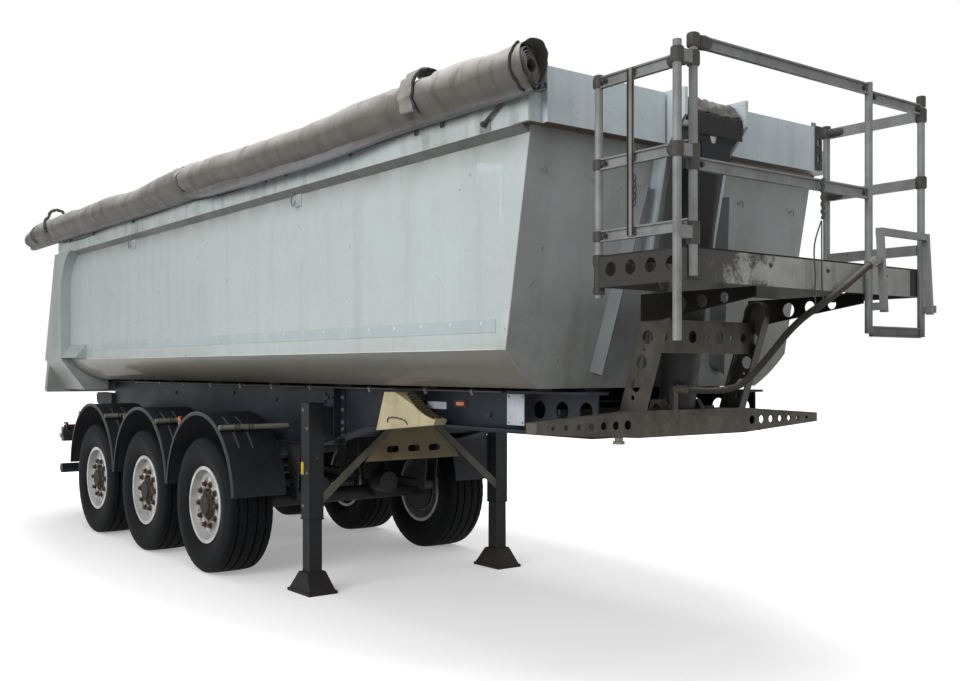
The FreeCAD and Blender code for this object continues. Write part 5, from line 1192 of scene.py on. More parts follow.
def make_rail_fittings():
    """Shock cord along the right rail with its hooks, the locking rod, and the closed ends of both rails."""
    face = -RAIL_HALF_WIDTH
    last = 60
    route = []
    for step in range(last + 1):
        x = -3.6 + 7.42 * step / last
        low = 0.5 + 0.5 * math.sin(x * 2.6) * math.sin(x * 0.9 + 1)
        route.append((x, face - 0.008, 2.955 - 0.035 * low * (1 - smooth((x - 3.4) / 0.3))))
    Piece().tube(route, 0.0055, 8).finish("shock_cord", FINISHES["rope_black"], "bed")
    hooks = Piece()
    for x in (-3.35, -2.6, -1.5, 0.35, 1.15, 1.45, 2.3, 3.02, 3.27):
        wire_hook(hooks, x, face - 0.010, 2.93)
    hooks.finish("cord_hooks", FINISHES["rope_black"], "bed")
    wires = Piece()
    plates = Piece()
    for x in (-1.66, 1.505):
        plates.block((x - 0.05, x + 0.05), (-BED_HALF_WIDTH - 0.006, -BED_HALF_WIDTH - 0.0003), (2.70, 2.80))
        wires.tube([
            (x - 0.03, -1.157, 2.80), (x - 0.03, -1.19, 2.78), (x - 0.022, -1.195, 2.72), (x, -1.195, 2.70),
            (x + 0.026, -1.195, 2.71), (x + 0.03, -1.19, 2.74),
        ], 0.006, 8)
    plates.finish("hook_plates", FINISHES["bed_frame"], "bed", bevel=0.002)
    wires.finish("hook_wires", FINISHES["galvanised"], "bed", subdivide=1)
    rod = Piece().rod((3.655, face - 0.022, 2.862), (3.86, face - 0.014, 2.98), 0.0085, 12)
    ball = [(-0.014, 0.004), (-0.010, 0.012), (0.0, 0.016), (0.010, 0.012), (0.014, 0.004)]
    rod.lathe(ball, (3.652, face - 0.022, 2.858), "Y", 16)
    rod.finish("locking_rod", FINISHES["rope_black"], "bed")
    plate = Piece().block((3.60, 3.69), (face - 0.006, face - GAP), (2.825, 2.885))
    plate.finish("rod_plate", FINISHES["galvanised"], "bed", bevel=0.002)
    front = front_wall_x(RAIL_BOTTOM) - 0.012
    high, low = RAIL_BOTTOM - 0.001, RAIL_BOTTOM - COVE_DROP
    for side, way in SIDES.items():
        # A dark strip under each rail, as painted shade
        cove = [(way * (RAIL_HALF_WIDTH - 0.002), high), (way * COVE_INNER_Y, high),
                (way * COVE_INNER_Y, low), (way * COVE_OUTER_Y, low)]
        Piece().plate_yz(cove, (BED_REAR_X, front)).finish(f"rail_shade_strip_{side}", FINISHES["rail_shade_paint"], "bed")
        y = sorted((way * RAIL_INNER_Y, way * (RAIL_HALF_WIDTH - GAP)))
        end = Piece().block((3.9255, 3.992), y, (RAIL_BOTTOM, RAIL_TOP))
        end.finish(f"rail_end_{side}", FINISHES["rail_paint"], "bed", bevel=0.002)
        y = sorted((way * (RAIL_HALF_WIDTH + GAP), way * (RAIL_HALF_WIDTH + 0.004)))
        sleeve = Piece().block((3.877, 3.99), y, (RAIL_BOTTOM + 0.003, RAIL_TOP - 0.002))
        sleeve.finish(f"rail_sleeve_{side}", FINISHES["rail_paint"], "bed", bevel=0.001)
        corner = (3.985, min(way * 1.084, way * 1.131), RAIL_TOP)
        slotted = Piece().pierced((0, 0.012, 0.034, 0.047), (0, 0.032, 0.058, 0.088, 0.114, 0.165), SLOTS,
                                  corner, (0, 1, 0), (0, 0, 1), 0.005)
        slotted.finish(f"slotted_plate_{side}", FINISHES["galvanised"], "bed")
        y = sorted((way * RAIL_INNER_Y, way * 1.19))
        stop = Piece().block((3.93, 3.984), y, (RAIL_TOP + GAP, RAIL_TOP + 0.075))
        stop.finish(f"rail_stop_{side}", FINISHES["rope_black"], "bed", bevel=0.004)
    outline = [(3.50, 2.693), (3.716, 2.655), (3.716, 2.36), (3.688, 2.36), (3.688, 2.615), (3.495, 2.64)]
    tape = Piece().plate_xz(outline, (-BED_HALF_WIDTH - 0.0008, -BED_HALF_WIDTH - 0.0002))
    tape.finish("tape_remnant", FINISHES["tape_blue"], "bed")


def make_front_wall_hooks():
    """Wire hooks on the front wall, and the slotted iron at the headboard's left end."""
    wires = Piece()
    for y, z in ((-1.045, 2.61), (-0.69, 2.59), (0.50, 2.58), (0.99, 2.57)):
        x = front_wall_x(z)
        wires.tube([
            (x, y - 0.014, z), (x + 0.016, y - 0.014, z + 0.006), (x + 0.022, y - 0.008, z + 0.018),
            (x + 0.022, y + 0.008, z + 0.018), (x + 0.020, y + 0.015, z + 0.002),
            (x + 0.016, y + 0.018, z - 0.02),
        ], 0.0036, 8)
    wires.finish("front_wall_hooks", FINISHES["strap_cloth"], "bed", subdivide=1)
    iron = Piece().pierced((0, 0.014, 0.04, 0.062), (0, 0.05, 0.09, 0.15, 0.19, 0.27), SLOTS,
                           (4.036, 1.058, 2.83), (0, 1, 0), (0, 0, 1), 0.006)
    iron.finish("headboard_iron", FINISHES["galvanised_dark"], "bed")
    wire = [(3.985, -0.46, 3.099), (3.992, -0.40, 3.101), (3.99, -0.34, 3.099), (3.985, -0.30, 3.10)]
    Piece().tube(wire, 0.006, 8).finish("headboard_wire", FINISHES["rope_black"], "bed")


def make_side_strip():
    """Riveted strip along each side of the tub, and a pale line along the crease below it as painted
    highlight.
    """
    inner = BED_HALF_WIDTH + 0.0002
    outer = BED_HALF_WIDTH + 0.003
    for side, way in SIDES.items():
        strip = Piece().block((-3.02, 3.66), sorted((way * inner, way * outer)), (1.795, 1.865))
        strip.finish(f"side_strip_{side}", FINISHES["strip_blue"], "bed")
        # A painted highlight along the crease
        edge = Piece().block((-3.02, 3.655), sorted((way * inner, way * (outer + GAP))), (1.703, 1.709))
        edge.finish(f"crease_edge_{side}", FINISHES["crease_edge"], "bed")
        spots = [((-2.9 + 0.28 * step, way * outer, 1.845), (0, way, 0)) for step in range(24)]
        bolts(f"side_rivets_{side}", spots, "bed", FINISHES["rivet_white"], 0.007, 0.003, 10)


# Threads of the cloth, as radians in a metre
THREADS = 900.0


def tarp_cloth():
    """Coated cloth: fine weave, grey with brown and dark stains that run along the folds, with painted light
    where it faces up, and painted shade where it faces down and over the roll's lower half.
    """
    colours = bpy.context.scene.trailer_colours
    material, tree = new_material("tarp_cloth")
    middle = ROLL_Z + ORIGIN.z
    stains = pattern(tree, 2.2, (0.6, 1, 1), detail=8.0, roughness=0.65)
    smears = pattern(tree, 6.0, (1.6, 0.5, 0.5), detail=6.0, roughness=0.65)
    height = place_along(tree, "Z")
    low = level(tree, height, middle - 0.13, middle + 0.02, 1.0, 0.0)
    facing = tree.nodes.new("ShaderNodeTexCoord").outputs["Normal"]
    # Painted light on faces turned up, painted shade on faces turned down
    upward = level(tree, put(tree, "ShaderNodeSeparateXYZ", {0: facing}).outputs["Z"], -0.15, 0.85)
    cloth = blend_colours(tree, upward, tuple(colours.sheet_shaded), tuple(colours.sheet_lit))
    worn = level(tree, stains, 0.42, 0.62, 0.0, 0.62)
    cloth = blend_colours(tree, worn, cloth, srgb(104, 98, 90))
    dark = calc(tree, "MULTIPLY", level(tree, smears, 0.52, 0.7), 0.7)
    cloth = blend_colours(tree, dark, cloth, srgb(52, 48, 44))
    # Painted shade over the roll's lower half
    shade = calc(tree, "MULTIPLY", low, level(tree, stains, 0.3, 0.6, 0.3, 1.0))
    cloth = blend_colours(tree, calc(tree, "MULTIPLY", shade, 0.75), cloth, srgb(62, 56, 48))
    folded = level(tree, height, middle - 0.16, middle - 0.125, 0.7, 0.0)
    cloth = blend_colours(tree, folded, cloth, srgb(122, 124, 130))
    weave = calc(tree, "SINE", calc(tree, "MULTIPLY", height, THREADS))
    warp = calc(tree, "SINE", calc(tree, "MULTIPLY", place_along(tree, "X"), THREADS))
    cloth_height = calc(tree, "ADD", calc(tree, "MULTIPLY", weave, warp), calc(tree, "MULTIPLY", smears, 2.0))
    relief = put(tree, "ShaderNodeBump", {"Strength": 0.12, "Distance": 0.001, "Height": cloth_height})
    shader = put(tree, "ShaderNodeBsdfPrincipled", {
        "Base Color": cloth, "Roughness": level(tree, smears, 0.3, 0.7, 0.55, 0.8),
        "Normal": relief.outputs[0],
    })
    shader.inputs["Sheen Weight"].default_value = 0.15
    put_out(tree, shader)
    FINISHES["tarp_cloth"] = material


# Air hose
HOSE_RADIUS = 0.018
HOSE_ROUTE = [
    (4.850, 0.360, 2.140), (4.812, 0.100, 1.965), (4.620, 0.060, 1.850), (4.360, 0.100, 1.610),
    (4.200, 0.070, 1.470), (4.020, -0.080, 1.490),
]

# Handrail
POST_RADIUS = 0.020
FRONT_POST_X = 4.8003
REAR_POST_X = 4.1997
END_POST_Y = 0.9353
SPARE_POST_Y = -1.0403
SIDE_RAIL_HEIGHTS = (3.0, 2.6, 2.25)
FRONT_RAIL_Z = 3.065
DECK_FRONT_X = 4.7803

# Half sections of the long cast elbows: along the rail, radius
NEAR_ELBOW = [(-0.055, 0.022), (-0.045, 0.031), (-0.012, 0.036), (0.01, 0.031), (0.035, 0.034), (0.05, 0.024)]
FAR_ELBOW = [(-0.05, 0.021), (-0.045, 0.027), (-0.01, 0.030), (0.03, 0.027), (0.05, 0.021)]
TOP_ELBOW = [(-0.045, 0.020), (-0.035, 0.030), (0.0, 0.034), (0.03, 0.030), (0.04, 0.022)]
POST_CAP = [(-0.05, 0.0203), (-0.05, 0.025), (0.004, 0.025), (0.009, 0.020), (0.010, 0.003), (0.001, 0.003)]
POST_SLEEVE = [(-0.08, 0.0203), (-0.08, 0.024), (0.08, 0.024), (0.08, 0.0203)]


def collar(piece, x, y, z, height):
    """A cast ring round a post, with rounded edges."""
    half = height / 2
    bore = POST_RADIUS + 0.0003
    skin = POST_RADIUS + 0.010
    profile = [(-half, bore), (-half, skin - 0.003), (-half + 0.006, skin), (half - 0.006, skin),
               (half, skin - 0.003), (half, bore)]
    return piece.lathe(profile, (x, y, z), "Z", 24)


def make_handrail_fittings():
    """Cast clamps and elbows that join the posts and rails, caps, sleeves and the bolts of the rails."""
    cast = Piece()
    for z in (2.985, 2.57):
        collar(cast, FRONT_POST_X, -END_POST_Y, z, 0.066)
        collar(cast, FRONT_POST_X, SPARE_POST_Y, z, 0.066)
    collar(cast, FRONT_POST_X, -END_POST_Y, 2.21, 0.10)
    collar(cast, FRONT_POST_X, -END_POST_Y, 2.52, 0.060)
    collar(cast, FRONT_POST_X, -END_POST_Y, FRONT_RAIL_Z, 0.060)
    collar(cast, FRONT_POST_X, END_POST_Y, 3.000, 0.075)
    collar(cast, FRONT_POST_X, END_POST_Y, 2.630, 0.066)
    for z in SIDE_RAIL_HEIGHTS:
        collar(cast, REAR_POST_X, -END_POST_Y, z, 0.050)
    for z in (3.0, 2.63):
        collar(cast, REAR_POST_X, END_POST_Y, z, 0.050)
        cast.lathe(FAR_ELBOW, (REAR_POST_X + 0.07, END_POST_Y, z), "X", 16)
    for z in SIDE_RAIL_HEIGHTS[:2]:
        cast.lathe(NEAR_ELBOW, (FRONT_POST_X - 0.085, -END_POST_Y, z), "X", 16)
    cast.lathe(TOP_ELBOW, (FRONT_POST_X, -END_POST_Y + 0.066, FRONT_RAIL_Z), "Y", 16)
    cast.finish("handrail_clamps", FINISHES["clamp_iron"], "chassis")
    sleeve = Piece()
    collar(sleeve, REAR_POST_X, -END_POST_Y, 2.135, 0.05)
    sleeve.lathe(POST_SLEEVE, (REAR_POST_X, -END_POST_Y, 2.06), "Z", 24)
    collar(sleeve, REAR_POST_X, -END_POST_Y, 1.985, 0.035)
    sleeve.finish("post_sleeve", FINISHES["galvanised_dark"], "chassis")
    caps = Piece()
    for x, y, z in ((FRONT_POST_X, -END_POST_Y, 3.09), (FRONT_POST_X, END_POST_Y, 3.098),
                    (REAR_POST_X, END_POST_Y, 3.04), (REAR_POST_X, -END_POST_Y, 3.03)):
        caps.lathe(POST_CAP, (x, y, z), "Z", 24)
    caps.finish("post_caps", FINISHES["clamp_iron"], "chassis")
    spots = []
    for y, z in ((-0.88, FRONT_RAIL_Z), (0.385, FRONT_RAIL_Z), (-0.88, 2.52), (0.385, 2.52), (0.475, 3.03),
                 (0.89, 3.03)):
        spots.append(((FRONT_POST_X + GAP, y, z), (1, 0, 0)))
    for z in SIDE_RAIL_HEIGHTS:
        for x in (4.25, 4.74):
            spots.append(((x, -END_POST_Y - 0.013, z + 0.001), (0, -1, 0)))
    bolts("rail_bolts", spots, "chassis", FINISHES["clamp_iron"], 0.010, 0.012)
    edges = Piece()
    edges.block((4.418, 4.4205), (-0.9655, -0.956), (2.232, 3.018))
    edges.block((4.450, 4.4525), (-0.9655, -0.956), (2.232, 3.018))
    edges.finish("flat_bar_edges", FINISHES["rust_edge"], "chassis")


def make_air_hose():
    """The hose that hangs from the folding step to the cylinder's foot."""
    radius = bpy.context.scene.trailer_sizes.hose_radius
    curve = bpy.data.curves.new("air_line", "CURVE")
    curve.dimensions = "3D"
    spline = curve.splines.new("NURBS")
    spline.points.add(len(HOSE_ROUTE) - 1)
    for point, place in zip(spline.points, HOSE_ROUTE):
        point.co = (*(Vector(place) + ORIGIN), 1)
    spline.order_u = 3
    spline.use_endpoint_u = True
    spline.resolution_u = 16
    curve.bevel_depth = radius
    curve.bevel_resolution = 6
    curve.use_fill_caps = True
    curve.materials.append(FINISHES["hose_rubber"])
    hose = bpy.data.objects.new("air_line", curve)
    bpy.context.scene.collection.objects.link(hose)
    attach(hose, "chassis")
    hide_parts("air_hose")


def make_platform_ropes():
    """The braided sling on the middle rail with its two lines, and the short chain by the side rail."""
    top = Vector((FRONT_POST_X + 0.020, -0.013, 2.552))
    last = 16
    sling = []
    for step in range(last + 1):
        share = step / last
        sway = 0.010 * math.sin(step * 2.3)
        sling.append(top + Vector((0.006 + sway * 0.4, 0.008 * share + sway, -0.205 * share)))
    knots = [0.009 + 0.004 * abs(math.sin(step * 1.9)) for step in range(last + 1)]
    Piece().tube(sling, knots, 8).finish("sling", FINISHES["rope_green"], "chassis", subdivide=1)
    low = sling[-1]
    lines = Piece()
    lines.tube([
        low, (4.806, -0.020, 2.290), (4.803, -0.052, 2.218), (4.803, -0.046, 2.134), (4.800, -0.026, 2.051),
        (4.790, -0.030, 1.985), (4.745, 0.050, 1.927),
    ], 0.0045, 6)
    lines.tube([
        low, (4.806, 0.011, 2.297), (4.803, 0.016, 2.148), (4.800, 0.020, 2.048), (4.785, 0.050, 1.975),
        (4.770, 0.078, 1.948),
    ], 0.0045, 6)
    lines.finish("sling_lines", FINISHES["rope_green"], "chassis", subdivide=1)
    chain("side_chain", [(4.46, -0.958, 2.50), (4.462, -0.957, 2.44), (4.458, -0.956, 2.385)], "chassis",
          FINISHES["clamp_iron"], 0.036, 0.0038)


def make_deck_fittings():
    """Corner irons and edge bolts of the deck."""
    caps = Piece()
    for way in SIDES.values():
        caps.block((DECK_FRONT_X, 4.786), sorted((way * 0.86, way * 0.9553)), (2.006, 2.145))
        caps.block((4.70, 4.786), sorted((way * 0.9553, way * 0.959)), (2.006, 2.145))
    caps.finish("deck_corners", FINISHES["galvanised_dark"], "chassis", bevel=0.001)
    spots = [((DECK_FRONT_X, y, 2.10), (1, 0, 0)) for y in (-0.36, 0.10, 0.36, 0.62)]
    bolts("deck_bolts", spots, "chassis", FINISHES["clamp_iron"], 0.008, 0.008)


# Chassis
WEB_Y = -0.655
FLANGE_Y = -0.725
CONDUIT_Z = 1.474

# The arc of the stowed chock's hollow face, in the XZ plane
CHOCK_CENTRE = (2.70, 1.85)
CHOCK_Y = (-0.8145, -0.7262)
CHOCK_STEP = 2.6

# Landing legs
LEG_X = (1.086, 1.214)
LEG_Y = 0.85
LEG_FACE_Y = LEG_Y + 0.0593


def make_chassis_fittings():
    """Conduit, clips, web bolts, side lamp, reflector, blank plate and stiffener of the right beam."""
    conduit = Piece().tube([
        (-2.76, FLANGE_Y - 0.011, CONDUIT_Z), (-1.2, FLANGE_Y - 0.012, 1.475), (0.4, FLANGE_Y - 0.010, 1.473),
        (2.0, FLANGE_Y - 0.012, CONDUIT_Z), (3.2, FLANGE_Y - 0.011, CONDUIT_Z),
    ], 0.0085, 10)
    conduit.finish("conduit", FINISHES["lamp_housing"], "chassis")
    clips = Piece()
    for x in (-2.73, -2.10, -1.52, -0.91, -0.30, 0.28, 0.91, 1.75, 2.42, 2.91):
        clips.lathe([(-0.012, 0.0087), (-0.012, 0.013), (0.012, 0.013), (0.012, 0.0087)],
                    (x, FLANGE_Y - 0.011, CONDUIT_Z), "X", 14)
        clips.block((x - 0.011, x + 0.011), (FLANGE_Y - 0.016, FLANGE_Y - GAP), (1.448, 1.462))
    clips.finish("conduit_clips", FINISHES["galvanised"], "chassis")
    spots = [((x, WEB_Y, z), (0, -1, 0)) for x, z in (
        (1.00, 1.415), (1.04, 1.395), (1.10, 1.398), (0.99, 1.36), (0.985, 1.325), (1.34, 1.22), (1.62, 1.20),
        (-0.6, 1.40), (-1.9, 1.38), (0.2, 1.36), (2.98, 1.33),
    )]
    bolts("web_bolts", spots, "chassis", FINISHES["under_paint"], 0.014, 0.012)
    fin = Piece().block((1.225, 1.233), (-0.722, WEB_Y - GAP), (1.056, 1.464))
    fin.block((1.2335, 1.29), (-0.664, WEB_Y - GAP), (1.056, 1.464))
    fin.finish("web_stiffener", FINISHES["chassis_paint"], "chassis", bevel=0.002)
    spots = [((1.262, -0.664, z), (0, -1, 0)) for z in (1.12, 1.17, 1.22, 1.31, 1.40)]
    bolts("stiffener_bolts", spots, "chassis", FINISHES["bolt_steel"], 0.010, 0.009)
    lamp = Piece().block((2.66, 2.74), (WEB_Y - 0.022, WEB_Y - GAP), (1.377, 1.405))
    lamp.finish("side_lamp", FINISHES["lamp_orange"], "chassis", bevel=0.007)
    base = Piece().block((2.62, 2.75), (WEB_Y - 0.006, WEB_Y - 0.0004), (1.368, 1.414))
    base.finish("side_lamp_base", FINISHES["lamp_housing"], "chassis", bevel=0.002)
    strip = Piece().block((2.326, 2.536), (WEB_Y - 0.003, WEB_Y - GAP), (1.352, 1.398))
    strip.finish("side_reflector", FINISHES["reflector_white"], "chassis", bevel=0.001)
    plate = Piece().block((3.230, 3.383), (FLANGE_Y - 0.004, FLANGE_Y - GAP), (1.285, 1.462))
    plate.finish("blank_plate", FINISHES["reflector_white"], "chassis", bevel=0.0015)
    washers = [((x, FLANGE_Y - 0.004, z), (0, -1, 0)) for x in (3.245, 3.368) for z in (1.30, 1.447)]
    bolts("plate_bolts", washers, "chassis", FINISHES["bolt_steel"], 0.006, 0.004)


def make_chock_tread():
    """Bars across the hollow face of the stowed chock, and its wire handle."""
    def on_arc(radius, degrees):
        angle = math.radians(degrees)
        return CHOCK_CENTRE[0] + radius * math.cos(angle), CHOCK_CENTRE[1] + radius * math.sin(angle)

    outline = [on_arc(0.5595, degrees) for degrees in range(227, 262, 3)]
    outline += [on_arc(0.556, degrees) for degrees in range(260, 226, -3)]
    Piece().plate_xz(outline, CHOCK_Y).finish("chock_face", FINISHES["chock_dirt"], "chassis", sharp=20)
    bars = Piece()
    for lane in range(3):
        for step in range(13):
            degrees = 228 + CHOCK_STEP * (step + 0.5 * (lane % 2))
            angle = math.radians(degrees)
            along = Vector((-math.sin(angle), 0, math.cos(angle))) * 0.006
            x, z = on_arc(0.5562, degrees)
            spot = Vector((x, CHOCK_Y[0] + 0.030 * lane, z))
            inward = Vector((-math.cos(angle), 0, -math.sin(angle))) * 0.006
            slant = Vector((0, 0.024, 0)) + along * (1.6 if lane % 2 else -1.6)
            corners = [spot - along, spot + along, spot + along + inward, spot - along + inward]
            bars.prism(corners, slant)
    bars.finish("chock_bars", FINISHES["chock_dark"], "chassis", sharp=20)
    handle = Piece().tube([
        (2.10, -0.8155, 1.250), (2.105, -0.824, 1.285), (2.15, -0.826, 1.298), (2.29, -0.826, 1.288),
        (2.33, -0.824, 1.272), (2.335, -0.8155, 1.245),
    ], 0.0045, 6)
    handle.finish("chock_handle", FINISHES["clamp_iron"], "chassis", subdivide=1)


def make_rear_fittings():
    """Red lenses and side markers of the rear lamps."""
    low, high = [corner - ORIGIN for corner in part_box("rear_lamps")]
    for side, way in SIDES.items():
        outer = way * max(abs(low.y), abs(high.y))
        y = sorted((outer - way * 0.05, outer - way * 0.22))
        lens = Piece().block((low.x - 0.012, low.x - GAP), y, (low.z + 0.03, high.z - 0.03))
        lens.finish(f"rear_lens_{side}", FINISHES["lamp_red"], "chassis", bevel=0.004)
        y = sorted((outer + way * GAP, outer + way * 0.008))
        marker = Piece().block((low.x + 0.02, low.x + 0.075), y, (low.z + 0.035, low.z + 0.085))
        marker.finish(f"rear_marker_{side}", FINISHES["lamp_red"], "chassis", bevel=0.003)


def make_leg_fittings():
    """Caps, lips and bolts of the landing legs, and the right leg's blank tag."""
    for side, way in SIDES.items():
        y = (way * LEG_Y - 0.064, way * LEG_Y + 0.064)
        cap = Piece().block(LEG_X, y, (1.3503, 1.362))
        cap.finish(f"leg_cap_{side}", FINISHES["leg_paint"], "chassis", bevel=0.003)
        lip = Piece().block(LEG_X, y, (0.522, 0.5297))
        lip.finish(f"leg_lip_{side}", FINISHES["leg_paint"], "chassis", bevel=0.002)
        face = way * LEG_FACE_Y
        spots = [((1.12, face, z), (0, way, 0)) for z in (1.31, 0.62)]
        spots += [((1.18, face, z), (0, way, 0)) for z in (1.18, 0.86)]
        bolts(f"leg_bolts_{side}", spots, "chassis", FINISHES["bolt_steel"], 0.008, 0.006)
    tag = Piece().block((1.094, 1.13), (-0.9125, -0.9095), (0.845, 0.935))
    tag.finish("leg_tag", FINISHES["yellow_tag"], "chassis", bevel=0.001)


# Mudguards
GUARD_RADIUS = 0.65
GUARD_CENTRE_Z = 0.615
GUARD_OUTER_Y = 1.24
STAY_AHEAD = 0.38
STAY_STAND_OFF = 0.0213
LOOP_RADIUS = 0.0262


def arc_bar(piece, x, radius, thickness, y, start, end, steps=40):
    """A bar that follows a circle in the XZ plane, square in section."""
    angles = [math.radians(start + (end - start) * step / steps) for step in range(steps + 1)]
    outline = [(x + radius * math.cos(a), GUARD_CENTRE_Z + radius * math.sin(a)) for a in angles]
    far = radius + thickness
    outline += [(x + far * math.cos(a), GUARD_CENTRE_Z + far * math.sin(a)) for a in reversed(angles)]
    points = [(px, side, pz) for side in y for px, pz in outline]
    count = len(outline)
    faces = []
    for i in range(steps):
        j = count - 1 - i
        faces += [(i, i + 1, j - 1, j), (i + count, j + count, j - 1 + count, i + 1 + count)]
    faces += [(i, (i + 1) % count, (i + 1) % count + count, i + count) for i in range(count)]
    return piece.add(points, faces)


def make_guard_fittings():
    """Beads along the guards, whose pale colour is a painted highlight on the lips, the pale strips and
    double straps that hold them to their stays.
    """
    rise = math.sqrt(GUARD_RADIUS ** 2 - STAY_AHEAD ** 2)
    reach = (GUARD_RADIUS + STAY_STAND_OFF) / GUARD_RADIUS
    stay_angle = math.degrees(math.atan2(rise, STAY_AHEAD))
    skin = GUARD_RADIUS + 0.0003
    for number in AXLES:
        x = -AXLE_PITCH * (number - 1)
        for side, way in SIDES.items():
            # The bead's pale colour is a painted highlight along the guard's lip
            beads = Piece()
            lane = sorted((way * (GUARD_OUTER_Y - 0.011), way * (GUARD_OUTER_Y - 0.0015)))
            arc_bar(beads, x, skin, 0.005, lane, 4, 176)
            beads.finish(f"guard_beads_{number}_{side}", FINISHES["guard_edge"], "chassis")
            strips = Piece()
            loops = Piece()
            for ahead in (-1, 1):
                centre = stay_angle if ahead > 0 else 180 - stay_angle
                stay = Vector((x + ahead * STAY_AHEAD * reach, 0, GUARD_CENTRE_Z + rise * reach))
                out = Vector((math.cos(math.radians(centre)), 0, math.sin(math.radians(centre))))
                along = Vector((-out.z, 0, out.x))
                for y in (1.13, 1.02):
                    lane = sorted((way * y, way * (y - 0.012)))
                    arc_bar(strips, x, skin, 0.003, lane, centre + 3.2, centre + 17, 10)
                    arc_bar(strips, x, skin, 0.003, lane, centre - 17, centre - 3.2, 10)
                    for shift in (0.012, 0.040):
                        middle = stay + Vector((0, way * (y - shift - 0.012), 0))
                        path = []
                        for step in range(13):
                            angle = math.radians(-10 + 200 * step / 12)
                            way_out = along * math.cos(angle) + out * math.sin(angle)
                            path.append(middle + way_out * LOOP_RADIUS)
                        feet = [path[0] - out * 0.018, path[-1] - out * 0.018]
                        loops.tube([feet[0], *path, feet[1]], 0.0045, 6)
            strips.finish(f"guard_strips_{number}_{side}", FINISHES["guard_edge"], "chassis")
            loops.finish(f"guard_loops_{number}_{side}", FINISHES["rope_black"], "chassis")
    marker = Piece()
    marker.tube([(-0.80, -1.02, 1.165), (-0.79, -1.06, 1.20), (-0.76, -1.09, 1.185), (-0.74, -1.07, 1.15)],
                [0.014, 0.018, 0.017, 0.011], 10)
    marker.finish("guard_marker", FINISHES["lamp_orange"], "chassis", subdivide=1)


# Cylinder head
COVER_ROWS = 22
COVER_COLUMNS = 28
COVER_NEAR_Y = -0.175
COVER_FAR_Y = 0.235
COVER_RADIUS = 0.098
PIN_X = 4.045
PIN_Z = 2.985
APRON_ROWS = 8


def cover_points():
    """The wrinkled cover over the pin, row by row from its back to its front."""
    points = []
    for row in range(COVER_ROWS + 1):
        share = row / COVER_ROWS
        angle = math.radians(160 - 150 * share)
        for column in range(COVER_COLUMNS + 1):
            across = column / COVER_COLUMNS
            wrinkle = 0.010 * math.sin(across * 31 + 1.5 * math.sin(share * 5))
            radius = COVER_RADIUS + (wrinkle + 0.007 * math.sin(share * 19 + across * 9))
            y = COVER_NEAR_Y + (COVER_FAR_Y - COVER_NEAR_Y) * across
            points.append((PIN_X + radius * math.cos(angle) * 0.85, y, PIN_Z + radius * math.sin(angle)))
    return points


def apron_points():
    """The flap that hangs from the cover's front edge, reaching down over the dark gap above the block,
    partly as painted shade.
    """
    points = []
    for row in range(APRON_ROWS + 1):
        for column in range(COVER_COLUMNS + 1):
            across = column / COVER_COLUMNS
            y = COVER_NEAR_Y + (COVER_FAR_Y - COVER_NEAR_Y) * across
            ripple = 0.004 * math.sin(across * 23 + row)
            points.append((PIN_X + 0.095 + ripple, y, PIN_Z + 0.010 - 0.0148 * row))
    return points


def make_cylinder_head():
    """The wrinkled cover between the bracket's cheeks with its flap, the block on the last stage, and a black
    plate above the block as painted shade.
    """
    apron = Piece().add(apron_points(), grid_faces(APRON_ROWS, COVER_COLUMNS))
    apron = apron.finish("head_apron", FINISHES["head_black"], "bed", sharp=60)
    thicken(apron, 0.004, -1)
    saddle = Piece().block((4.128, 4.150), (-0.115, 0.115), (2.725, 2.835))
    for way in (-1, 1):
        saddle.block((4.06, 4.1275), sorted((way * 0.098, way * 0.115)), (2.735, 2.825))
    saddle.finish("head_block", FINISHES["leg_paint"], "stage_5", bevel=0.003)
    # A black plate over the gap above the block: painted shade
    shade_plate = Piece().block((4.1200, 4.1275), (-0.112, 0.112), (2.8355, 2.900))
    shade_plate.finish("head_shade_plate", FINISHES["head_black"], "stage_5", bevel=0.002)
    cover = Piece().add(cover_points(), grid_faces(COVER_ROWS, COVER_COLUMNS))
    cover = cover.finish("head_cover", FINISHES["head_rubber"], "bed", sharp=60)
    thicken(cover, 0.006, -1)


# Wheels
BEAD_RADIUS = 0.2865
GROOVE_RADIUS = 0.519
TYRE_HALF_WIDTH = 0.1925
TYRE_STEPS = 144
ZIGZAG = 0.0026
RIB_DEPTH = 0.0035
RIB_RADII = (0.495, 0.525)

# Half of the tyre from bead to middle: outward, radius, share of the groove's zigzag
TREAD_PROFILE = [
    (0.147, BEAD_RADIUS, 0), (0.150, 0.306, 0), (0.160, 0.322, 0), (0.172, 0.345, 0), (0.181, 0.372, 0),
    (0.1895, 0.405, 0), (TYRE_HALF_WIDTH, 0.430, 0), (TYRE_HALF_WIDTH, 0.446, 0), (0.1895, 0.468, 0),
    (0.184, 0.490, 0), (0.180, 0.505, 0), (0.177, 0.517, 0), (0.163, 0.5285, 0), (0.150, 0.5315, 0),
    (0.121, 0.5335, 1), (0.1175, GROOVE_RADIUS, 1), (0.1085, GROOVE_RADIUS, 1), (0.105, 0.5345, 1),
    (0.080, 0.5352, 1), (0.0495, 0.5356, 1), (0.046, GROOVE_RADIUS, 1), (0.037, GROOVE_RADIUS, 1),
    (0.0335, 0.5358, 1), (0.015, 0.536, 1),
]
TYRE_INNER = [(0.135, BEAD_RADIUS, 0), (0.15, 0.38, 0), (0.15, 0.47, 0), (0.12, 0.505, 0)]


def wheel_centre(number, way):
    """The middle of one wheel."""
    return Vector((-AXLE_PITCH * (number - 1), way * WHEEL_CENTRE_Y, TYRE_RADIUS))


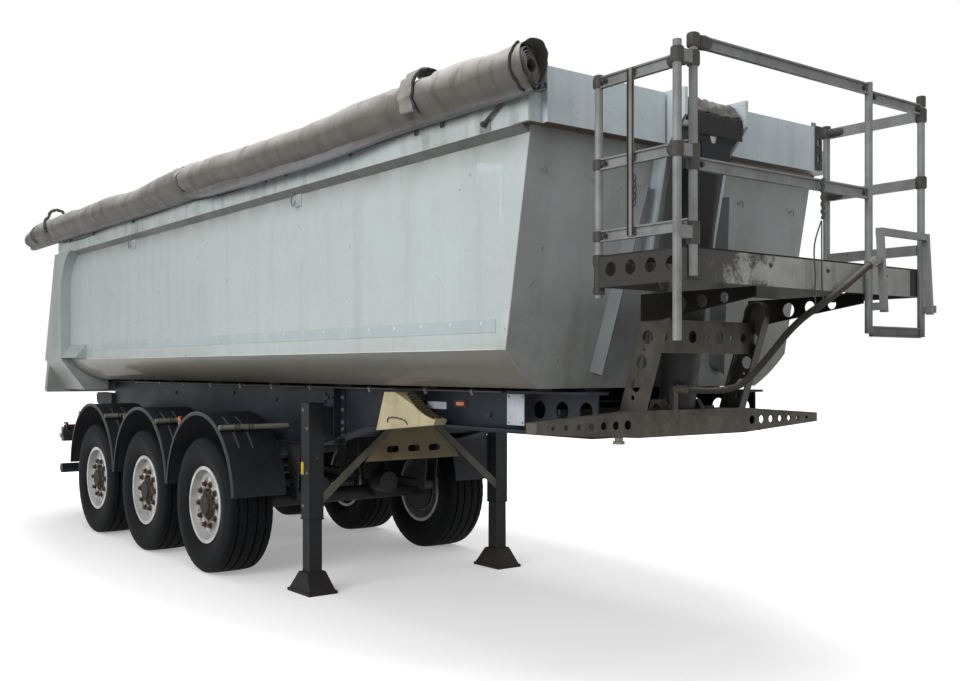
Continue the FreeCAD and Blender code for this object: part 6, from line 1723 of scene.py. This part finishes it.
def make_tyre(number, side):
    """Tyre with four zigzag grooves, ribbed shoulders and the rings of its side wall."""
    profile = [(-y, r, z) for y, r, z in TREAD_PROFILE]
    profile += [(-y, r, z) for y, r, z in reversed(profile)]
    profile += TYRE_INNER + [(-y, r, z) for y, r, z in reversed(TYRE_INNER)]
    centre = wheel_centre(number, SIDES[side])
    points = []
    for step in range(TYRE_STEPS):
        angle = 2 * math.pi * step / TYRE_STEPS
        zigzag = ZIGZAG * (1 if step % 4 < 2 else -1)
        for outward, radius, share in profile:
            if share == 0 and RIB_RADII[0] < radius < RIB_RADII[1] and step % 3 == 0:
                radius -= RIB_DEPTH
            points.append(centre + Vector((radius * math.cos(angle), outward + zigzag * share,
                                           radius * math.sin(angle))))
    count = len(profile)
    faces = []
    for step in range(TYRE_STEPS):
        here, there = step * count, (step + 1) % TYRE_STEPS * count
        for i in range(count):
            j = (i + 1) % count
            faces.append((here + i, here + j, there + j, there + i))
    name = f"tread_{number}_{side}"
    Piece().add(points, faces).finish(name, FINISHES["tyre_rubber"], f"wheel_{number}_{side}", "tyre",
                                      replaces=(f"tyre_{number}_{side}",), sharp=40)


NUTS = 10
NUT_CIRCLE = BEAD_RADIUS * 0.586
HUB_CIRCLE = 0.099

# Dished disc from the barrel to the hub: outward from the wheel's middle, radius
DISC_PROFILE = [
    (0.100, 0.2755), (0.104, 0.262), (0.116, 0.238), (0.124, 0.222), (0.128, 0.205), (0.128, 0.132),
    (0.122, 0.121), (0.114, 0.121), (0.120, 0.136), (0.120, 0.204), (0.114, 0.222), (0.104, 0.240),
    (0.094, 0.2755),
]


def make_wheels():
    """Tyres, discs, and the dark nuts and bolts of every wheel."""
    grease = FINISHES["hub_grease"]
    for number in AXLES:
        for side, way in SIDES.items():
            make_tyre(number, side)
            centre = wheel_centre(number, way)
            hub_spots = []
            nut_spots = []
            for step in range(NUTS):
                angle = math.radians(360 / NUTS * step)
                out = Vector((math.cos(angle), 0, math.sin(angle)))
                hub_spots.append((centre + out * HUB_CIRCLE + Vector((0, way * 0.126, 0)), (0, way, 0)))
                nut_spots.append((centre + out * NUT_CIRCLE + Vector((0, way * 0.1283, 0)), (0, way, 0)))
            body = f"wheel_{number}_{side}"
            disc = Piece().lathe([(way * along, radius) for along, radius in DISC_PROFILE], centre, "Y", 64)
            disc.finish(f"disc_{number}_{side}", FINISHES["wheel_silver"], body, sharp=50)
            bolts(f"hub_bolts_{number}_{side}", hub_spots, body, grease, 0.009, 0.014)
            bolts(f"wheel_nuts_{number}_{side}", nut_spots, body, grease, 0.0185, 0.027)


# Settings, operators and panel
def power_setting(name, description, default):
    """A lamp's or the sky's strength."""
    return bpy.props.FloatProperty(name=name, description=description, default=default, min=0)


def length_setting(name, description, default):
    """A size in metres."""
    return bpy.props.FloatProperty(name=name, description=description, default=default, min=0.0,
                                   precision=4, unit="LENGTH")


def colour_setting(name, description, default):
    """A colour that the panel shows as a swatch."""
    return bpy.props.FloatVectorProperty(name=name, description=description, default=default, size=4, min=0,
                                         max=1, subtype="COLOR")


class TrailerStage(bpy.types.PropertyGroup):
    """The camera's lens and the light."""

    focal_length: bpy.props.FloatProperty(name="Focal length", description="Camera lens", default=39.96,
                                          unit="CAMERA")
    sky_strength: power_setting("Sky", "Even light from all round", 0.55)
    side_power: power_setting("Side softbox", "Light on the bed's side", 620)
    top_power: power_setting("Top softbox", "Light from above", 620)
    front_power: power_setting("Front softbox", "Light on the nose", 90)


class TrailerSizes(bpy.types.PropertyGroup):
    """Sizes of the soft pieces."""

    sheet_thickness: length_setting("Sheet thickness", "Thickness of the rolled cloth", SHEET_THICKNESS)
    strap_half_width: length_setting("Strap half width", "Half of the wide strap", WIDE_STRAP_HALF_WIDTH)
    hose_radius: length_setting("Hose radius", "Radius of the hose at the platform", HOSE_RADIUS)


class TrailerColours(bpy.types.PropertyGroup):
    """Colours of the large pieces before their dirt and wear."""

    bed_side: colour_setting("Bed", "Paint of the bed's sides", srgb(193, 204, 203))
    rails: colour_setting("Rails", "Paint of the bed's top rails", srgb(190, 201, 199))
    chassis: colour_setting("Chassis", "Paint of the beams", srgb(20, 28, 38))
    wheels: colour_setting("Wheels", "Paint of the rims and discs", srgb(206, 206, 204))
    # The sheet's two colours are one cloth: painted light where it faces up, painted shade where it faces
    # down
    sheet_lit: colour_setting("Sheet, top", "Cloth where it faces up", srgb(196, 192, 186))
    sheet_shaded: colour_setting("Sheet, below", "Cloth where it faces down", srgb(84, 81, 76))


SETTINGS = {"trailer_stage": TrailerStage, "trailer_sizes": TrailerSizes, "trailer_colours": TrailerColours}


def operator(label, identifier, description, run):
    """An operator for one group of pieces."""
    def execute(self, context):
        run()
        return {"FINISHED"}

    return type("TRAILER_OT_" + identifier, (bpy.types.Operator,), {
        "bl_idname": "trailer." + identifier, "bl_label": label, "__doc__": description, "execute": execute,
    })


OPERATORS = [
    operator("Finishes", "finishes", "Make every finish", make_finishes),
    operator("Dress frame", "dress_frame", "Give the CAD nodes their finishes", dress_frame),
    operator("Stage", "stage", "Camera, floor and lamps", make_stage),
    operator("Air hose", "air_hose", "The hose from the folding step to the cylinder's foot", make_air_hose),
    operator("Rolled sheet", "rolled_sheet", "The rolled tarpaulin", make_rolled_sheet),
    operator("Roll straps", "roll_straps", "Straps and bands round the roll", make_roll_straps),
    operator("Roll ends", "roll_ends", "Front flap and rear cap of the roll", make_roll_ends),
    operator("Rail fittings", "rail_fittings", "Cord, hooks and plates of the rails", make_rail_fittings),
    operator("Side strip", "side_strip", "Riveted strips on the bed's sides", make_side_strip),
    operator("Front wall hooks", "front_wall_hooks", "Hooks on the front wall", make_front_wall_hooks),
    operator("Cylinder head", "cylinder_head", "Rubber cover over the cylinder's head", make_cylinder_head),
    operator("Handrail fittings", "handrail_fittings", "Clamps, caps and bolts", make_handrail_fittings),
    operator("Platform ropes", "platform_ropes", "Sling, lines and chain", make_platform_ropes),
    operator("Deck fittings", "deck_fittings", "Corner irons and bolts of the deck", make_deck_fittings),
    operator("Chassis fittings", "chassis_fittings", "Conduit, lamp, plate and bolts", make_chassis_fittings),
    operator("Chock tread", "chock_tread", "Bars and handle of the chock", make_chock_tread),
    operator("Rear fittings", "rear_fittings", "Lenses and markers of the rear lamps", make_rear_fittings),
    operator("Leg fittings", "leg_fittings", "Caps, bolts and tag of the legs", make_leg_fittings),
    operator("Guard fittings", "guard_fittings", "Beads, strips and straps of the guards",
             make_guard_fittings),
    operator("Wheels", "wheels", "Tyres, discs, nuts and hub bolts", make_wheels),
]


class TRAILER_PT_pieces(bpy.types.Panel):
    """Lists the trailer's groups of pieces."""

    bl_label = "Dump trailer"
    bl_space_type = "VIEW_3D"
    bl_region_type = "UI"
    bl_category = "Trailer"

    def draw(self, context):
        for kind in OPERATORS:
            self.layout.operator(kind.bl_idname)
        for group, kind in SETTINGS.items():
            for name in kind.__annotations__:
                self.layout.prop(getattr(context.scene, group), name)


CLASSES = [*SETTINGS.values(), *OPERATORS, TRAILER_PT_pieces]


def register():
    for kind in CLASSES:
        bpy.utils.register_class(kind)
    for group, kind in SETTINGS.items():
        setattr(bpy.types.Scene, group, bpy.props.PointerProperty(type=kind))


def unregister():
    for group in SETTINGS:
        delattr(bpy.types.Scene, group)
    for kind in reversed(CLASSES):
        bpy.utils.unregister_class(kind)


def main():
    """Make every piece in order."""
    register()
    for kind in OPERATORS:
        name = kind.bl_idname.split(".")[1]
        getattr(bpy.ops.trailer, name)()


if __name__ == "__main__":
    main()
